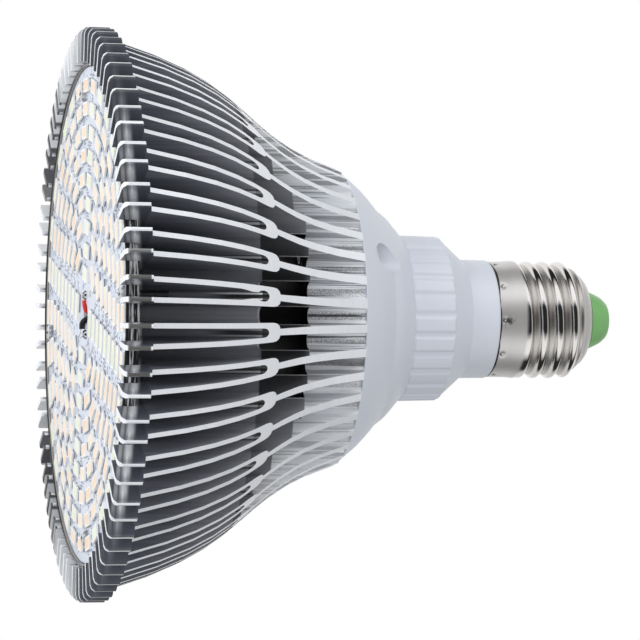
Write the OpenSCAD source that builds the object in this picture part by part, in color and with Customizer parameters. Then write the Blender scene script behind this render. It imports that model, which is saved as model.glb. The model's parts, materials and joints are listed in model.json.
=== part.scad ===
// LED grow light bulb, millimetres.
// The bulb stands face down: the rim of the heat sink rests on Z = 0 and the screw cap points up.

/* [Heat sink] */
// Radius over the fin tips at the rim
rim_r = 62.5; // [60:0.5:66]
// Length of the heat sink along the axis
sink_len = 57; // [52:1:62]
// Number of forked fins round the hub
stem_count = 40; // [32:4:44]
// Height of the rim band that is left at full radius
rim_band = 5.6; // [4:0.2:8]
// Depth that the lathe takes off behind the rim band
rim_step = 2.6; // [1.5:0.1:3.5]
// Radius of the turned bell where it meets the neck housing
sink_end_r = 32.9; // [32.6:0.1:34]
// Radius at the bottom of the valleys between the stems
valley_r = 31.5; // [30.5:0.1:31.8]
// Radius of the round bottom of each valley
valley_round = 1.7; // [1.4:0.05:1.8]
// Thickness of a stem just below its fork
stem_t = 1.35; // [1.1:0.05:1.7]
// Radius at which the slot of a fork ends
slot_end_r = 47.4; // [45:0.2:50]
// Width of the slot at its round end
slot_w = 1.9; // [1.6:0.1:2.2]
// Metal left between the slot and the stem
fork_base = 2.3; // [1.8:0.1:3]
// Thickness of one prong of a fork
prong_t = 1.05; // [0.8:0.05:1.2]
// Distance between the two prongs of a fork at the rim, middle to middle
prong_gap = 4.5; // [4:0.1:4.9]
// Bore of the hub
hub_bore_r = 28.4; // [27:0.2:29]
// Start of the ring window that is turned into the hub from inside
window_z = 33.8; // [28:0.2:36]
// Length of the ring window
window_len = 10.4; // [6:0.2:14]
// Radius to which the ring window is turned
window_r = 34.6; // [32.4:0.1:36]

/* [Light board] */
// Width of the rim round the recess that takes the tray
rim_land = 7.4; // [5.5:0.1:8]
// Depth of the recess behind the rim
recess_depth = 4; // [3.6:0.1:5]
// Sheet thickness of the tray floor
tray_floor = 0.8; // [0.6:0.1:1.2]
// Sheet thickness of the tray wall
tray_wall = 0.7; // [0.5:0.1:1]
// Distance of the tray lip behind the rim
tray_lip_z = 1.2; // [0.8:0.1:1.8]
// Thickness of the heat transfer pad
pad_t = 0.2; // [0.1:0.05:0.4]
// Thickness of the light board
board_t = 1; // [0.8:0.1:1.6]
// Radius of the wire hole in the middle of the board
wire_hole_r = 2.5; // [2:0.1:3]
// Length of one light package
led_len = 5.7; // [5:0.1:5.8]
// Width of one light package
led_w = 3; // [2.4:0.1:3.2]
// Height of one light package
led_h = 0.7; // [0.6:0.05:0.9]
// Rim of the package round its phosphor window
led_edge = 0.4; // [0.25:0.05:0.5]
// Distance of the outer ring of lights from the edge of the board
led_margin = 4; // [3.5:0.1:5]
// Distance between two rings of lights
led_ring_step = 5.12; // [4.9:0.02:5.3]
// Most rings of lights that the board has
led_rings_max = 9; // [6:1:9]
// Radius round the wire hole that stays free of lights
led_free_r = 8; // [7:0.1:9]
// Least distance between two lights of a ring, end to end
led_gap = 3.1; // [2.8:0.1:4]
// Most lights that a quarter ring has
led_quarter_max = 8; // [5:1:8]

/* [Board screws] */
// Number of screws that hold the board
board_screw_count = 4; // [2:2:4]
// Radius of a screw head
board_head_r = 1.8; // [1.5:0.05:1.85]
// Height of a screw head
board_head_h = 1.1; // [0.8:0.1:1.3]
// Radius of a screw shank
board_shank_r = 1; // [0.8:0.05:1.1]
// Length of a screw shank
board_shank_len = 9; // [6:0.5:14]
// Distance of the screws inside the outer ring of lights
board_screw_inset = 1.45; // [1.3:0.05:1.6]

/* [Neck housing] */
// Wall of the housing
housing_wall = 2.2; // [1.8:0.1:2.6]
// Thickness of the flange on the heat sink
flange_t = 2.5; // [2:0.1:3]
// Length of the flared collar
collar_len = 14.5; // [13.5:0.1:16]
// Radius of the grip over its ribs
grip_r = 18.45; // [17.8:0.05:19.2]
// Length of the grip
grip_len = 9.1; // [7:0.1:11]
// Number of ribs round the grip
grip_ribs = 26; // [20:1:30]
// Depth of the grooves between the ribs
grip_groove = 0.5; // [0.3:0.05:0.7]
// Width of the grooves between the ribs
grip_groove_w = 1.1; // [0.8:0.1:1.6]
// Length of the cone between grip and neck
cone_len = 5.5; // [4:0.1:8]
// Radius of the neck
neck_r = 13.2; // [13.1:0.05:13.6]
// Length of the neck up to the cap
neck_len = 6.5; // [4:0.1:9]

/* [Housing screws] */
// Number of screws that hold the housing
housing_screw_count = 2; // [1:1:2]
// Radius of the circle on which the screws stand
housing_screw_ring_r = 26.4; // [26:0.1:26.8]
// Turn of the first screw round the axis
housing_screw_turn = -114; // [-120:1:-108]
// Radius of the pocket that a screw head sinks into
pocket_r = 3.3; // [3.2:0.05:3.6]
// Radius of a screw head
housing_head_r = 2.8; // [2.4:0.1:3]
// Height of a screw head
housing_head_h = 2; // [1.4:0.1:2.2]
// Radius of a screw shank
housing_shank_r = 1.4; // [1.2:0.05:1.5]
// Length of a screw shank
housing_shank_len = 12; // [8:0.5:13]

/* [Screw cap] */
// Radius of the plain skirt of the cap
skirt_r = 12.95; // [12.85:0.05:13.05]
// Length of the plain skirt
skirt_len = 6; // [5:0.1:8]
// Radius over the thread crests
thread_r = 13.2; // [13.1:0.02:13.25]
// Depth of the thread
thread_depth = 1.1; // [0.9:0.05:1.2]
// Pitch of the thread
thread_pitch = 3.63; // [3.5:0.01:3.7]
// Number of thread turns
thread_turns = 4; // [3:1:5]
// Sheet thickness of the cap
shell_t = 0.4; // [0.3:0.05:0.5]
// Length of the domed end of the cap
dome_len = 4.2; // [3.6:0.1:5]
// Radius of the hole in the domed end
dome_hole_r = 6.2; // [5.6:0.1:6.6]
// Length of the plastic nose beyond the cap
nose_len = 3.5; // [3:0.1:4.6]
// Radius of the contact disc in the nose
contact_r = 2.4; // [2:0.1:2.8]

/* [Driver] */
// Wall of the insulating sleeve
sleeve_wall = 1.2; // [0.8:0.1:1.6]
// Thickness of the driver circuit board
driver_t = 1.6; // [1:0.2:1.6]
// Length of the driver circuit board
driver_len = 52; // [50:1:54]
// Height of the input capacitor
input_cap_h = 15; // [12:0.5:16]
// Height of the output capacitor
output_cap_h = 12; // [9:0.5:13]
// Size of the transformer along the axis
transformer_len = 16; // [14:0.5:16]
// Diameter of the insulated leads
lead_d = 1.3; // [1:0.1:1.5]

/* [Hidden] */

// General values
fit = 0.2;            // clearance between pieces that slide into each other
seat = 0.05;          // clearance of a curved seat
over = 1;             // how far a cutter passes the face that it cuts
turned_fn = 96;       // smoothness of turned pieces
small_fn = 32;        // smoothness of small round pieces
arc_steps = 3;        // straight pieces in a quarter of a small round on the fins

// Derived values of the fins
pitch = 360 / stem_count;
half_pitch = pitch / 2;
prong_mid_rim = prong_gap / 2;
prong_mid_slot = slot_w / 2 + prong_t / 2;
tip_r = rim_r - prong_t / 2;
shoulder_r = fork_base * 0.6;
shoulder_v = slot_w / 2 + prong_t - shoulder_r;
channel_r = board_shank_r + 0.15;
lip_gap = 0.6 * channel_r;
lip_len = 1.2;
lip_taper = 2.4;

// Outline of the bell behind the rim band, a curve with two handles
bell_start = [rim_r - rim_step, rim_band + 0.4];
bell_end = [sink_end_r, sink_len];
bell_handle_a = [-8.8, 31.9];
bell_handle_b = [7.9, -24.8];
bell_steps = 10;
rim_round = 1.8;
rim_back_round = 0.6;

// Derived values of the board stack, all measured from the rim
recess_r = rim_r - rim_land;
tray_top = recess_depth;
tray_r = recess_r - fit;
pad_z = tray_top - tray_floor - pad_t;
board_front = pad_z - board_t;
led_front = board_front - led_h;
board_r = tray_r - tray_wall - fit;
led_ring_r = board_r - led_margin;
screw_ring_r = led_ring_r - board_screw_inset;
screw_room = 2 * (board_head_r + 0.25);
led_rings = min(led_rings_max, 1 + floor((led_ring_r - led_free_r) / led_ring_step));
phosphor_t = 0.25;
screw_hole_r = board_shank_r + fit;

// Derived values of the housing
flange_z = sink_len;
collar_end = flange_z + collar_len;
grip_end = collar_end + grip_len;
cone_end = grip_end + cone_len;
cap_z = cone_end + neck_len;
housing_boss_r = 2.7;
spigot_out = housing_screw_ring_r - housing_boss_r - 0.3;
spigot_wall = 1.8;
spigot_len = 7;
pocket_wall = 1.4;
cap_spigot_r = skirt_r - shell_t - seat;
trough_r = thread_r - thread_depth - shell_t;
thread_spigot_r = trough_r - 2 * seat;
cap_bore_r = thread_spigot_r - 1.6;
spigot_end = cap_z + skirt_len + thread_turns * thread_pitch - 4;

// Derived values of the cap
thread_z = cap_z + skirt_len;
thread_end = thread_z + thread_turns * thread_pitch;
thread_steps = 8;
dome_end = thread_end + dome_len;
nose_end = dome_end + nose_len;
nose_r = dome_hole_r - seat;
nose_flange_t = 1;
contact_t = 0.5;
contact_pin_r = 1.1;
contact_pin_len = 3.5;

// Derived values of the driver
sleeve_r = spigot_out - spigot_wall - fit;
sleeve_in = sleeve_r - sleeve_wall;
sleeve_front = recess_depth + 5;
sleeve_end = flange_z + flange_t + 0.5;
driver_top = -3.4;
driver_bottom = driver_top - driver_t;
driver_w = 2 * (sqrt(pow(sleeve_in, 2) - pow(driver_bottom, 2)) - fit);
driver_z = sleeve_front + sleeve_wall + 2;
lead_r = lead_d / 2;

function polar(r, a) = [r * cos(a), r * sin(a)];
function arc(c, r, from, to, steps) =
    [for (i = [0:steps]) c + polar(r, from + (to - from) * i / steps)];
function reversed(list) = [for (i = [len(list) - 1:-1:0]) list[i]];
function mirrored(list) = [for (p = list) [p[0], -p[1]]];
function turned(list, a) =
    [for (p = list) [p[0] * cos(a) - p[1] * sin(a), p[0] * sin(a) + p[1] * cos(a)]];
function bezier(a, b, c, d, t) =
    pow(1 - t, 3) * a + 3 * t * pow(1 - t, 2) * b + 3 * t * t * (1 - t) * c + pow(t, 3) * d;

// Half of a valley, from its middle line to the side of the stem
valley_mid_r = valley_r + valley_round;
function half_valley() =
    arc(polar(valley_mid_r, half_pitch), valley_round, 180 + half_pitch, 270, arc_steps);

// Middle line of a prong at radius r, for a fork whose slot ends at radius e
function slot_mid_r(e) = e + slot_w / 2;
function prong_mid(r, e) = prong_mid_slot
    + (prong_mid_rim - prong_mid_slot) * (r - slot_mid_r(e)) / (rim_r - slot_mid_r(e));

// Outer side of a fork, from the stem to the fin tip
function half_fork(e) = let (shoulder_mid_r = e - fork_base + shoulder_r) concat(
    [[shoulder_mid_r - shoulder_r, stem_t / 2]],
    [for (p = arc([shoulder_mid_r, shoulder_v], shoulder_r, 180, 90, arc_steps))
        if (p[1] > stem_t / 2) p],
    arc([tip_r, prong_mid(tip_r, e)], prong_t / 2, 90, -90, 4));

// Inner side of a plain fork, from the fin to the bottom of the slot
function half_slot(e) = arc([slot_mid_r(e), 0], slot_w / 2, 90, 180, arc_steps);

// Inner side of a fork that holds a screw: two lips in front of a round channel
function half_channel(e) = let (mid_r = e + channel_r, lip_r = mid_r + lip_len) concat(
    [[lip_r + lip_taper, prong_mid(lip_r + lip_taper, e) - prong_t / 2],
     [lip_r + 0.6, lip_gap],
     [mid_r + channel_r * cos(asin(lip_gap / channel_r)), lip_gap]],
    arc([mid_r, 0], channel_r, 60, 180, 2 * arc_steps));

// One forked fin, from valley to valley, as seen along the axis. The slot of a fork that holds
// a screw ends where the screw needs it
function half_stem(channel) = let (e = channel ? screw_ring_r - channel_r : slot_end_r)
    concat(half_valley(), half_fork(e), channel ? half_channel(e) : half_slot(e));
function stem(channel) =
    let (h = half_stem(channel), n = len(h))
    concat(mirrored([for (i = [0:n - 1]) h[i]]), reversed([for (i = [1:n - 2]) h[i]]));
function has_channel(k) = k % (stem_count / board_screw_count) == 0;
function sink_outline() =
    [for (k = [0:stem_count - 1]) each turned(stem(has_channel(k)), k * pitch)];

module at_housing_screws() {
    for (k = [0:housing_screw_count - 1])
        rotate(housing_screw_turn + k * 180) translate([housing_screw_ring_r, 0]) children();
}

module at_board_screws() {
    for (k = [0:board_screw_count - 1])
        rotate(k * 360 / board_screw_count) translate([screw_ring_r, 0]) children();
}

// Section of the aluminium extrusion
module sink_section() {
    difference() {
        union() {
            difference() {
                polygon(sink_outline());
                circle(hub_bore_r, $fn = turned_fn);
            }
            at_housing_screws() circle(housing_boss_r, $fn = small_fn);
        }
        at_housing_screws() circle(housing_shank_r + seat, $fn = small_fn);
    }
}

// Everything that the lathe leaves: rim, bell, front recess and ring window
module sink_turning() {
    outline = concat(
        [[0, recess_depth], [recess_r, recess_depth], [recess_r, 0]],
        arc([rim_r + 0.2 - rim_round, rim_round], rim_round, -90, 0, arc_steps),
        arc([rim_r + 0.2 - rim_back_round, rim_band - rim_back_round], rim_back_round, 0, 90, 2),
        [for (i = [0:bell_steps]) bezier(bell_start, bell_start + bell_handle_a,
            bell_end + bell_handle_b, bell_end, i / bell_steps)],
        [[0, sink_len], [0, window_z + window_len], [window_r, window_z + window_len],
         [window_r, window_z], [0, window_z]]);
    rotate_extrude($fn = turned_fn) polygon(outline);
}

module heat_sink() {
    color("gainsboro") intersection() {
        linear_extrude(height = sink_len) sink_section();
        sink_turning();
    }
}

// Thin aluminium dish in the front recess, with its wall turned up round the board
module led_tray() {
    lip_round = tray_wall / 2;
    color("silver") difference() {
        rotate_extrude($fn = turned_fn) polygon(concat(
            [[wire_hole_r + 1, tray_top - tray_floor],
             [tray_r - tray_wall, tray_top - tray_floor]],
            arc([tray_r - lip_round, tray_lip_z + lip_round], lip_round, 180, 360, 4),
            [[tray_r, tray_top], [wire_hole_r + 1, tray_top]]));
        board_screw_holes(tray_top - tray_floor, tray_floor);
    }
}

// Clearance holes for the board screws through a layer that starts at z
module board_screw_holes(z, t) {
    at_board_screws() translate([0, 0, z - over])
        cylinder(r = screw_hole_r, h = t + 2 * over, $fn = small_fn);
}

// Round layer with a wire hole and screw holes
module layer(r, hole_r, z, t) {
    difference() {
        translate([0, 0, z]) cylinder(r = r, h = t, $fn = turned_fn);
        translate([0, 0, z - over]) cylinder(r = hole_r, h = t + 2 * over, $fn = small_fn);
        board_screw_holes(z, t);
    }
}

module transfer_pad() {
    color("lightgray") layer(board_r - 0.5, wire_hole_r + 0.6, pad_z, pad_t);
}

module light_board() {
    color("aliceblue") layer(board_r, wire_hole_r, board_front, board_t);
}

// Lights stand in rings, with the same number in each quarter. In the outer ring the screws
// need room between two lights
function ring_r(i) = led_ring_r - i * led_ring_step;
function quarter_fit(i) =
    floor(ring_r(i) * PI / 2 / (led_len + (i == 0 ? screw_room : led_gap)));
function quarter_count(i) = max(1, min(led_quarter_max, quarter_fit(i)));
led_turn = 1.5 * 90 / quarter_count(0);
function is_lime(i, j) = i == 0 ? (j >= 1 && j <= 5) : j == 0;
LIGHTS = [for (i = [0:led_rings - 1]) for (q = [0:3]) for (j = [0:quarter_count(i) - 1])
    [ring_r(i), led_turn + q * 90 + j * 90 / quarter_count(i), is_lime(i, j)]];

// Puts a flat block, standing on z = 0, at each place in the list
module light_blocks(list, w, len, h) {
    linear_extrude(height = h, convexity = 4) for (l = list)
        rotate(l[1]) translate([l[0], 0]) square([w, len], center = true);
}

module led_packages() {
    window_w = led_w - 2 * led_edge;
    window_len = led_len - 2 * led_edge;
    color("white") difference() {
        translate([0, 0, led_front]) light_blocks(LIGHTS, led_w, led_len, led_h);
        translate([0, 0, led_front - over])
            light_blocks(LIGHTS, window_w, window_len, over + phosphor_t);
    }
}

module phosphor(list) {
    translate([0, 0, led_front])
        light_blocks(list, led_w - 2 * led_edge, led_len - 2 * led_edge, phosphor_t);
}

module amber_phosphor() {
    color("navajowhite") phosphor([for (l = LIGHTS) if (!l[2]) l]);
}

module lime_phosphor() {
    color("beige") phosphor([for (l = LIGHTS) if (l[2]) l]);
}

// Small pan head screws with a cross recess, screwed in from the front
module board_screws() {
    color("silver") at_board_screws() translate([0, 0, board_front]) difference() {
        union() {
            mirror([0, 0, 1]) pan_head(board_head_r, board_head_h);
            cylinder(r = board_shank_r, h = board_shank_len, $fn = small_fn);
        }
        translate([0, 0, -board_head_h - over]) cross_recess(board_head_r * 0.55, over + 0.6);
    }
}

// Head that stands up from z = 0
module pan_head(r, h) {
    rotate_extrude($fn = small_fn) polygon([[0, 0], [r, 0], [r, h * 0.45],
        [r * 0.86, h * 0.8], [r * 0.6, h], [0, h]]);
}

module cross_recess(r, h) {
    for (a = [0, 90]) rotate(a) translate([-r, -r * 0.28, 0]) cube([2 * r, r * 0.56, h]);
}

// A round lead swept along a list of points
lead_sides = 8;
function unit(v) = v / norm(v);
function along(p, i) = unit(p[min(i + 1, len(p) - 1)] - p[max(i - 1, 0)]);
function side_of(t) = unit(cross(t, abs(t[1]) < 0.9 ? [0, 1, 0] : [1, 0, 0]));
function ring(c, t, r) = let (u = side_of(t), w = cross(t, u))
    [for (k = [0:lead_sides - 1])
        c + r * (cos(k * 360 / lead_sides) * u + sin(k * 360 / lead_sides) * w)];
module lead(path, r) {
    n = len(path);
    points = [for (i = [0:n - 1]) each ring(path[i], along(path, i), r)];
    sides = [for (i = [0:n - 2]) for (k = [0:lead_sides - 1]) let (m = (k + 1) % lead_sides)
        [i * lead_sides + k, i * lead_sides + m, (i + 1) * lead_sides + m,
         (i + 1) * lead_sides + k]];
    start = [for (k = [lead_sides - 1:-1:0]) k];
    finish = [for (k = [0:lead_sides - 1]) (n - 1) * lead_sides + k];
    polyhedron(points, concat([start], sides, [finish]), convexity = 4);
}

// Leads from the driver board through the middle holes to the front of the light board
solder_x = wire_hole_r + 1.8;
solder_r = 1.1;
solder_h = 1;
lead_top = driver_z + 3;
function front_lead(s) = [
    [s * 3.5, driver_top + lead_r + seat, lead_top],
    [s * 2.6, driver_top + lead_r + 0.6, driver_z],
    [s * 1.3, -1, sleeve_front - 1],
    [s * 1.1, -0.4, board_front + board_t],
    [s * 1.1, 0, board_front],
    [s * 1.3, 0, led_front - 0.1],
    [s * 2, 0, led_front - 0.5],
    [s * (solder_x - solder_r - seat), 0, board_front - lead_r - seat]];

module red_lead() {
    color("red") lead(front_lead(-1), lead_r);
}

module black_lead() {
    color("black") lead(front_lead(1), lead_r);
}

// Solder joints on the pads of the light board, one for each lead
module board_solder() {
    color("silver") for (s = [-1, 1]) translate([s * solder_x, 0, board_front])
        mirror([0, 0, 1]) rotate_extrude($fn = small_fn) polygon([[0, 0], [solder_r, 0],
            [solder_r * 0.87, solder_h * 0.4], [solder_r * 0.55, solder_h * 0.8], [0, solder_h]]);
}

// Insulating sleeve round the driver, seen as black through the ring window
module driver_sleeve() {
    color("black") difference() {
        translate([0, 0, sleeve_front])
            cylinder(r = sleeve_r, h = sleeve_end - sleeve_front, $fn = turned_fn);
        translate([0, 0, sleeve_front + sleeve_wall])
            cylinder(r = sleeve_in, h = sleeve_end - sleeve_front, $fn = turned_fn);
        translate([0, 0, sleeve_front - over])
            cylinder(r = wire_hole_r + 1.5, h = sleeve_wall + 2 * over, $fn = small_fn);
    }
}

module driver_board() {
    color("darkgreen") difference() {
        translate([-driver_w / 2, driver_bottom, driver_z]) cube([driver_w, driver_t, driver_len]);
        for (s = [-1, 1]) translate([s * (driver_w / 2 - 3), driver_bottom - over, driver_z + 3])
            rotate([-90, 0, 0]) cylinder(r = 1.1, h = driver_t + 2 * over, $fn = small_fn);
    }
}

// Places on the driver board, from its front end to its back end
input_cap_x = 7.5;
output_cap_x = 8;
choke_x = 9;
first_row_step = 7.5;
film_step = 7;
choke_step = 12;
transformer_step = 6.5;
cap_row_z = driver_z + first_row_step;
film_z = cap_row_z + film_step;
choke_z = film_z + choke_step;
transformer_z = choke_z + transformer_step;
input_cap_r = 5;
output_cap_r = 4;
choke_r = 4.5;
choke_h = 9;
fuse_r = 1.8;
fuse_len = 9;
film_size = [13, 10, 5];
bridge_size = [6.6, 2.6, 5];
chip_size = [5, 1.6, 4];
coil_w = 13;
coil_h = 12;
coil_round = 2;
core_leg = 3;
core_depth = 5;
core_window = 0.25;   // clearance between the winding and the outer legs

// A can that stands on the driver board
module standing(x, z) {
    translate([x, driver_top, z]) rotate([-90, 0, 0]) children();
}

// Electrolytic can with the rolled groove near its base and a rounded top edge
module capacitor_can(r, h) {
    rotate_extrude($fn = small_fn) polygon([[0, 0], [r, 0], [r, 1.2], [r - 0.35, 1.6],
        [r - 0.35, 2], [r, 2.4], [r, h - 0.6], [r - 0.5, h], [0, h]]);
}

module input_capacitor() {
    color("navy") standing(input_cap_x, cap_row_z) capacitor_can(input_cap_r, input_cap_h);
}

module output_capacitor() {
    color("darkslategray") standing(-output_cap_x, cap_row_z) capacitor_can(output_cap_r, output_cap_h);
}

module film_capacitor() {
    color("goldenrod") translate([-film_size[0] / 2, driver_top, film_z])
        cube(film_size);
}

// Drum core with its winding in the waist
module choke() {
    flange = 1.2;
    waist_r = choke_r - 0.6;
    color("dimgray") standing(-choke_x, choke_z) rotate_extrude($fn = small_fn)
        polygon([[0, 0], [choke_r, 0], [choke_r, flange], [waist_r, flange],
            [waist_r, choke_h - flange], [choke_r, choke_h - flange], [choke_r, choke_h],
            [0, choke_h]]);
}

// Resistor that lies on the driver board, thicker at its two end caps
module fuse_resistor() {
    waist_r = fuse_r - 0.25;
    half = [[fuse_r - 0.3, 0], [fuse_r, 0.4], [fuse_r, 1.4], [waist_r, 1.8]];
    color("lightgreen") translate([choke_x, driver_top + fuse_r, choke_z - fuse_len / 2])
        rotate_extrude($fn = small_fn) polygon(concat([[0, 0]], half,
            [for (p = reversed(half)) [p[0], fuse_len - p[1]]], [[0, fuse_len]]));
}

// A block on the back of the driver board, with its middle at x = 0 and at z
module back_block(size, z) {
    translate([-size[0] / 2, driver_bottom - size[1], z - size[2] / 2]) cube(size);
}

module bridge_rectifier() {
    color("black") back_block(bridge_size, cap_row_z);
}

module controller_chip() {
    color("black") back_block(chip_size, choke_z);
}

// Core round the coil: an outer frame with a middle leg
module transformer_core() {
    w = coil_w + 2 * core_leg;
    len = transformer_len;
    y = driver_top + coil_h / 2 - core_depth / 2;
    color("#3a3a3c") translate([0, y, transformer_z]) difference() {
        translate([-w / 2, 0, 0]) cube([w, core_depth, len]);
        for (s = [0, 1]) mirror([s, 0, 0]) translate([core_leg, -over, core_leg])
            cube([w / 2 - 2 * core_leg, core_depth + 2 * over, len - 2 * core_leg]);
    }
}

// Taped winding round the middle leg of the core
module transformer_coil() {
    len = transformer_len - 2 * core_leg;
    color("gold") translate([0, driver_top + coil_h / 2, transformer_z + core_leg]) difference() {
        linear_extrude(height = len) coil_section();
        translate([-core_leg, -core_depth / 2, -over])
            cube([2 * core_leg, core_depth, len + 2 * over]);
    }
}

module coil_section() {
    x = coil_w / 2 - coil_round - core_window;
    y = coil_h / 2 - coil_round;
    union() {
        square([2 * (x + coil_round), 2 * y], center = true);
        square([2 * x, 2 * (y + coil_round)], center = true);
        for (sx = [-1, 1]) for (sy = [-1, 1]) translate([sx * x, sy * y])
            circle(coil_round, $fn = small_fn);
    }
}

// Moulded neck housing: flange and spigot, flared collar, ribbed grip, cone, neck, cap spigot
module neck_housing() {
    color("ghostwhite") difference() {
        union() {
            rotate_extrude($fn = turned_fn) polygon(concat(housing_outer(), housing_inner()));
            intersection() {
                at_housing_screws() translate([0, 0, flange_z])
                    cylinder(r = pocket_r + pocket_wall, h = collar_len, $fn = small_fn);
                rotate_extrude($fn = turned_fn) polygon(concat(housing_outer(),
                    [[0, cap_z], [0, flange_z]]));
            }
        }
        at_housing_screws() {
            translate([0, 0, flange_z + flange_t])
                cylinder(r = pocket_r, h = collar_len + over, $fn = small_fn);
            translate([0, 0, flange_z - over])
                cylinder(r = housing_shank_r + fit, h = flange_t + 2 * over, $fn = small_fn);
        }
        grip_grooves();
    }
}

// Outer line of the housing from its flange up to the spigot in the cap. The collar has two
// rounded steps, with a crease between them, and is given as pairs: the share of its length, and
// the share of the way from the heat sink to the grip
flange_shares = [[0, 0.02], [0.07, 0.073], [0.207, 0.19], [0.345, 0.304], [0.483, 0.464]];
crease_share = [0.586, 0.585];
step_shares = [[0.724, 0.682], [0.855, 0.824], [0.966, 0.955]];
collar_shares = concat(flange_shares, [crease_share], step_shares);
grip_round = 0.5;
grip_draft = 0.2;
function collar_at(p) =
    [sink_end_r + p[1] * (grip_r - sink_end_r), flange_z + p[0] * collar_len];
function collar_inside(p) = collar_at(p) - [housing_wall, 0];
function housing_outer() = concat(
    [[sink_end_r - 1.2, flange_z]],
    [for (p = collar_shares) collar_at(p)],
    [[grip_r, collar_end], [grip_r - grip_draft, grip_end - grip_round],
     [grip_r - grip_draft - 0.2 * grip_round, grip_end - 0.2 * grip_round],
     [grip_r - grip_draft - 0.8 * grip_round, grip_end + 0.8 * grip_round],
     [neck_r, cone_end], [neck_r, cap_z], [cap_spigot_r, cap_z],
     [cap_spigot_r, thread_z - 0.6], [thread_spigot_r, thread_z - 0.1],
     [thread_spigot_r, spigot_end]]);

// Inner line of the housing, back down to the flange and round the front spigot
function housing_inner() = [
    [cap_bore_r, spigot_end], [cap_bore_r, cap_z], [neck_r - housing_wall, cap_z - 1],
    [neck_r - housing_wall, cone_end], [grip_r - housing_wall, grip_end - 0.6],
    [grip_r - housing_wall, collar_end - 1],
    collar_inside(crease_share), collar_inside(flange_shares[3]),
    [collar_inside(flange_shares[2])[0], flange_z + flange_t],
    [spigot_out - spigot_wall, flange_z + flange_t],
    [spigot_out - spigot_wall, flange_z - spigot_len],
    [spigot_out, flange_z - spigot_len], [spigot_out, flange_z]];

module grip_grooves() {
    groove_z = collar_end - 0.6;
    groove_end = grip_end - 1.6 * grip_round;
    for (k = [0:grip_ribs - 1]) rotate(-90 + (k + 0.18) * 360 / grip_ribs)
        translate([grip_r - grip_groove, -grip_groove_w / 2, groove_z])
            cube([grip_groove + over, grip_groove_w, groove_end - groove_z]);
}

module housing_screws() {
    color("silver") at_housing_screws() translate([0, 0, flange_z + flange_t]) difference() {
        union() {
            pan_head(housing_head_r, housing_head_h);
            translate([0, 0, -housing_shank_len])
                cylinder(r = housing_shank_r, h = housing_shank_len, $fn = small_fn);
        }
        translate([0, 0, housing_head_h - 1]) cross_recess(housing_head_r * 0.55, 1 + over);
    }
}

// Radius along the rolled thread of the cap: round troughs and crests of the same radius
thread_arc_r = thread_depth / 4 + pow(thread_pitch, 2) / (16 * thread_depth);
function from_arc(u) = thread_arc_r - sqrt(pow(thread_arc_r, 2) - u * u);
function thread_at(z) = let (
    turn = (z - thread_z) / thread_pitch,
    u = abs(turn - round(turn)) * thread_pitch)
    u < thread_pitch / 4 ? thread_r - thread_depth + from_arc(u)
        : thread_r - from_arc(thread_pitch / 2 - u);
function cap_line(t) = concat(
    [[skirt_r - t, cap_z], [skirt_r - t, thread_z - 0.5]],
    [for (i = [0:(thread_turns - 0.5) * thread_steps + 1])
        let (z = thread_z + i * thread_pitch / thread_steps) [thread_at(z) - t, z]],
    [[11.9 - t, thread_end - 0.7], [10.6 - t, thread_end + 0.2],
     [10.1 - 0.8 * t, thread_end + 0.9 - 0.4 * t], [9.4 - 0.7 * t, thread_end + 1.8 - 0.6 * t],
     [dome_hole_r + 1.4 - 0.4 * t, dome_end - 1.4 - 0.9 * t],
     [dome_hole_r + 0.7 - 0.3 * t, dome_end - 0.8 - t], [dome_hole_r, dome_end - t]]);

// Plated steel shell with a plain skirt, the rolled thread and a domed end
module cap_shell() {
    color("silver") rotate_extrude($fn = turned_fn)
        polygon(concat(cap_line(0), reversed(cap_line(shell_t))));
}

// Plastic nose that carries the centre contact, held by its flange behind the domed end
module cap_nose() {
    flange_top = dome_end - shell_t - 1.5;
    tip = nose_end;
    color("mediumseagreen") difference() {
        rotate_extrude($fn = turned_fn) polygon([
            [0, flange_top - nose_flange_t], [nose_r + 1, flange_top - nose_flange_t],
            [nose_r + 1, flange_top], [nose_r, flange_top], [nose_r, dome_end + 0.1],
            [nose_r + 0.2, dome_end + 0.1], [nose_r - 0.55, dome_end + nose_len * 0.45],
            [nose_r - 1.1, tip - 1.1], [nose_r - 1.8, tip - 0.6], [contact_r + 1, tip - 0.2],
            [contact_r + 0.2, tip], [0, tip]]);
        translate([0, 0, tip - contact_t]) cylinder(r = contact_r + seat, h = 2, $fn = small_fn);
        translate([0, 0, dome_end - 5])
            cylinder(r = contact_pin_r + seat, h = nose_len + 5, $fn = small_fn);
    }
}

// Brass contact disc with its hollow pin
module centre_contact() {
    color("goldenrod") rotate_extrude($fn = small_fn) polygon([
        [0, nose_end - contact_pin_len], [contact_pin_r, nose_end - contact_pin_len],
        [contact_pin_r, nose_end - contact_t], [contact_r, nose_end - contact_t],
        [contact_r, nose_end - 0.1], [0, nose_end - 0.1]]);
}

// Places that both leads to the cap pass
driver_end = driver_z + driver_len;
lead_start = driver_end - 4;
lead_bend = driver_end + 8;
lead_in_neck = cap_z - 4;
lead_in_cap = cap_z + 8;
lead_drop = 1;
live_x = 3;
neutral_x = 4;
pin_start = nose_end - contact_pin_len;
pin_run = 1.1;

// Lead from the driver board to the centre contact
module live_lead() {
    color("firebrick") lead([
        [live_x, driver_top + lead_r + seat, lead_start],
        [live_x * 1.07, driver_top + lead_r + fit, driver_end],
        [live_x * 1.13, -lead_drop, lead_bend],
        [live_x * 0.87, 0, lead_in_neck],
        [live_x * 0.47, 0, lead_in_cap],
        [live_x * 0.13, 0, dome_end - dome_hole_r],
        [0, 0, pin_start - pin_run],
        [0, 0, pin_start - seat]], lead_r);
}

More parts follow.
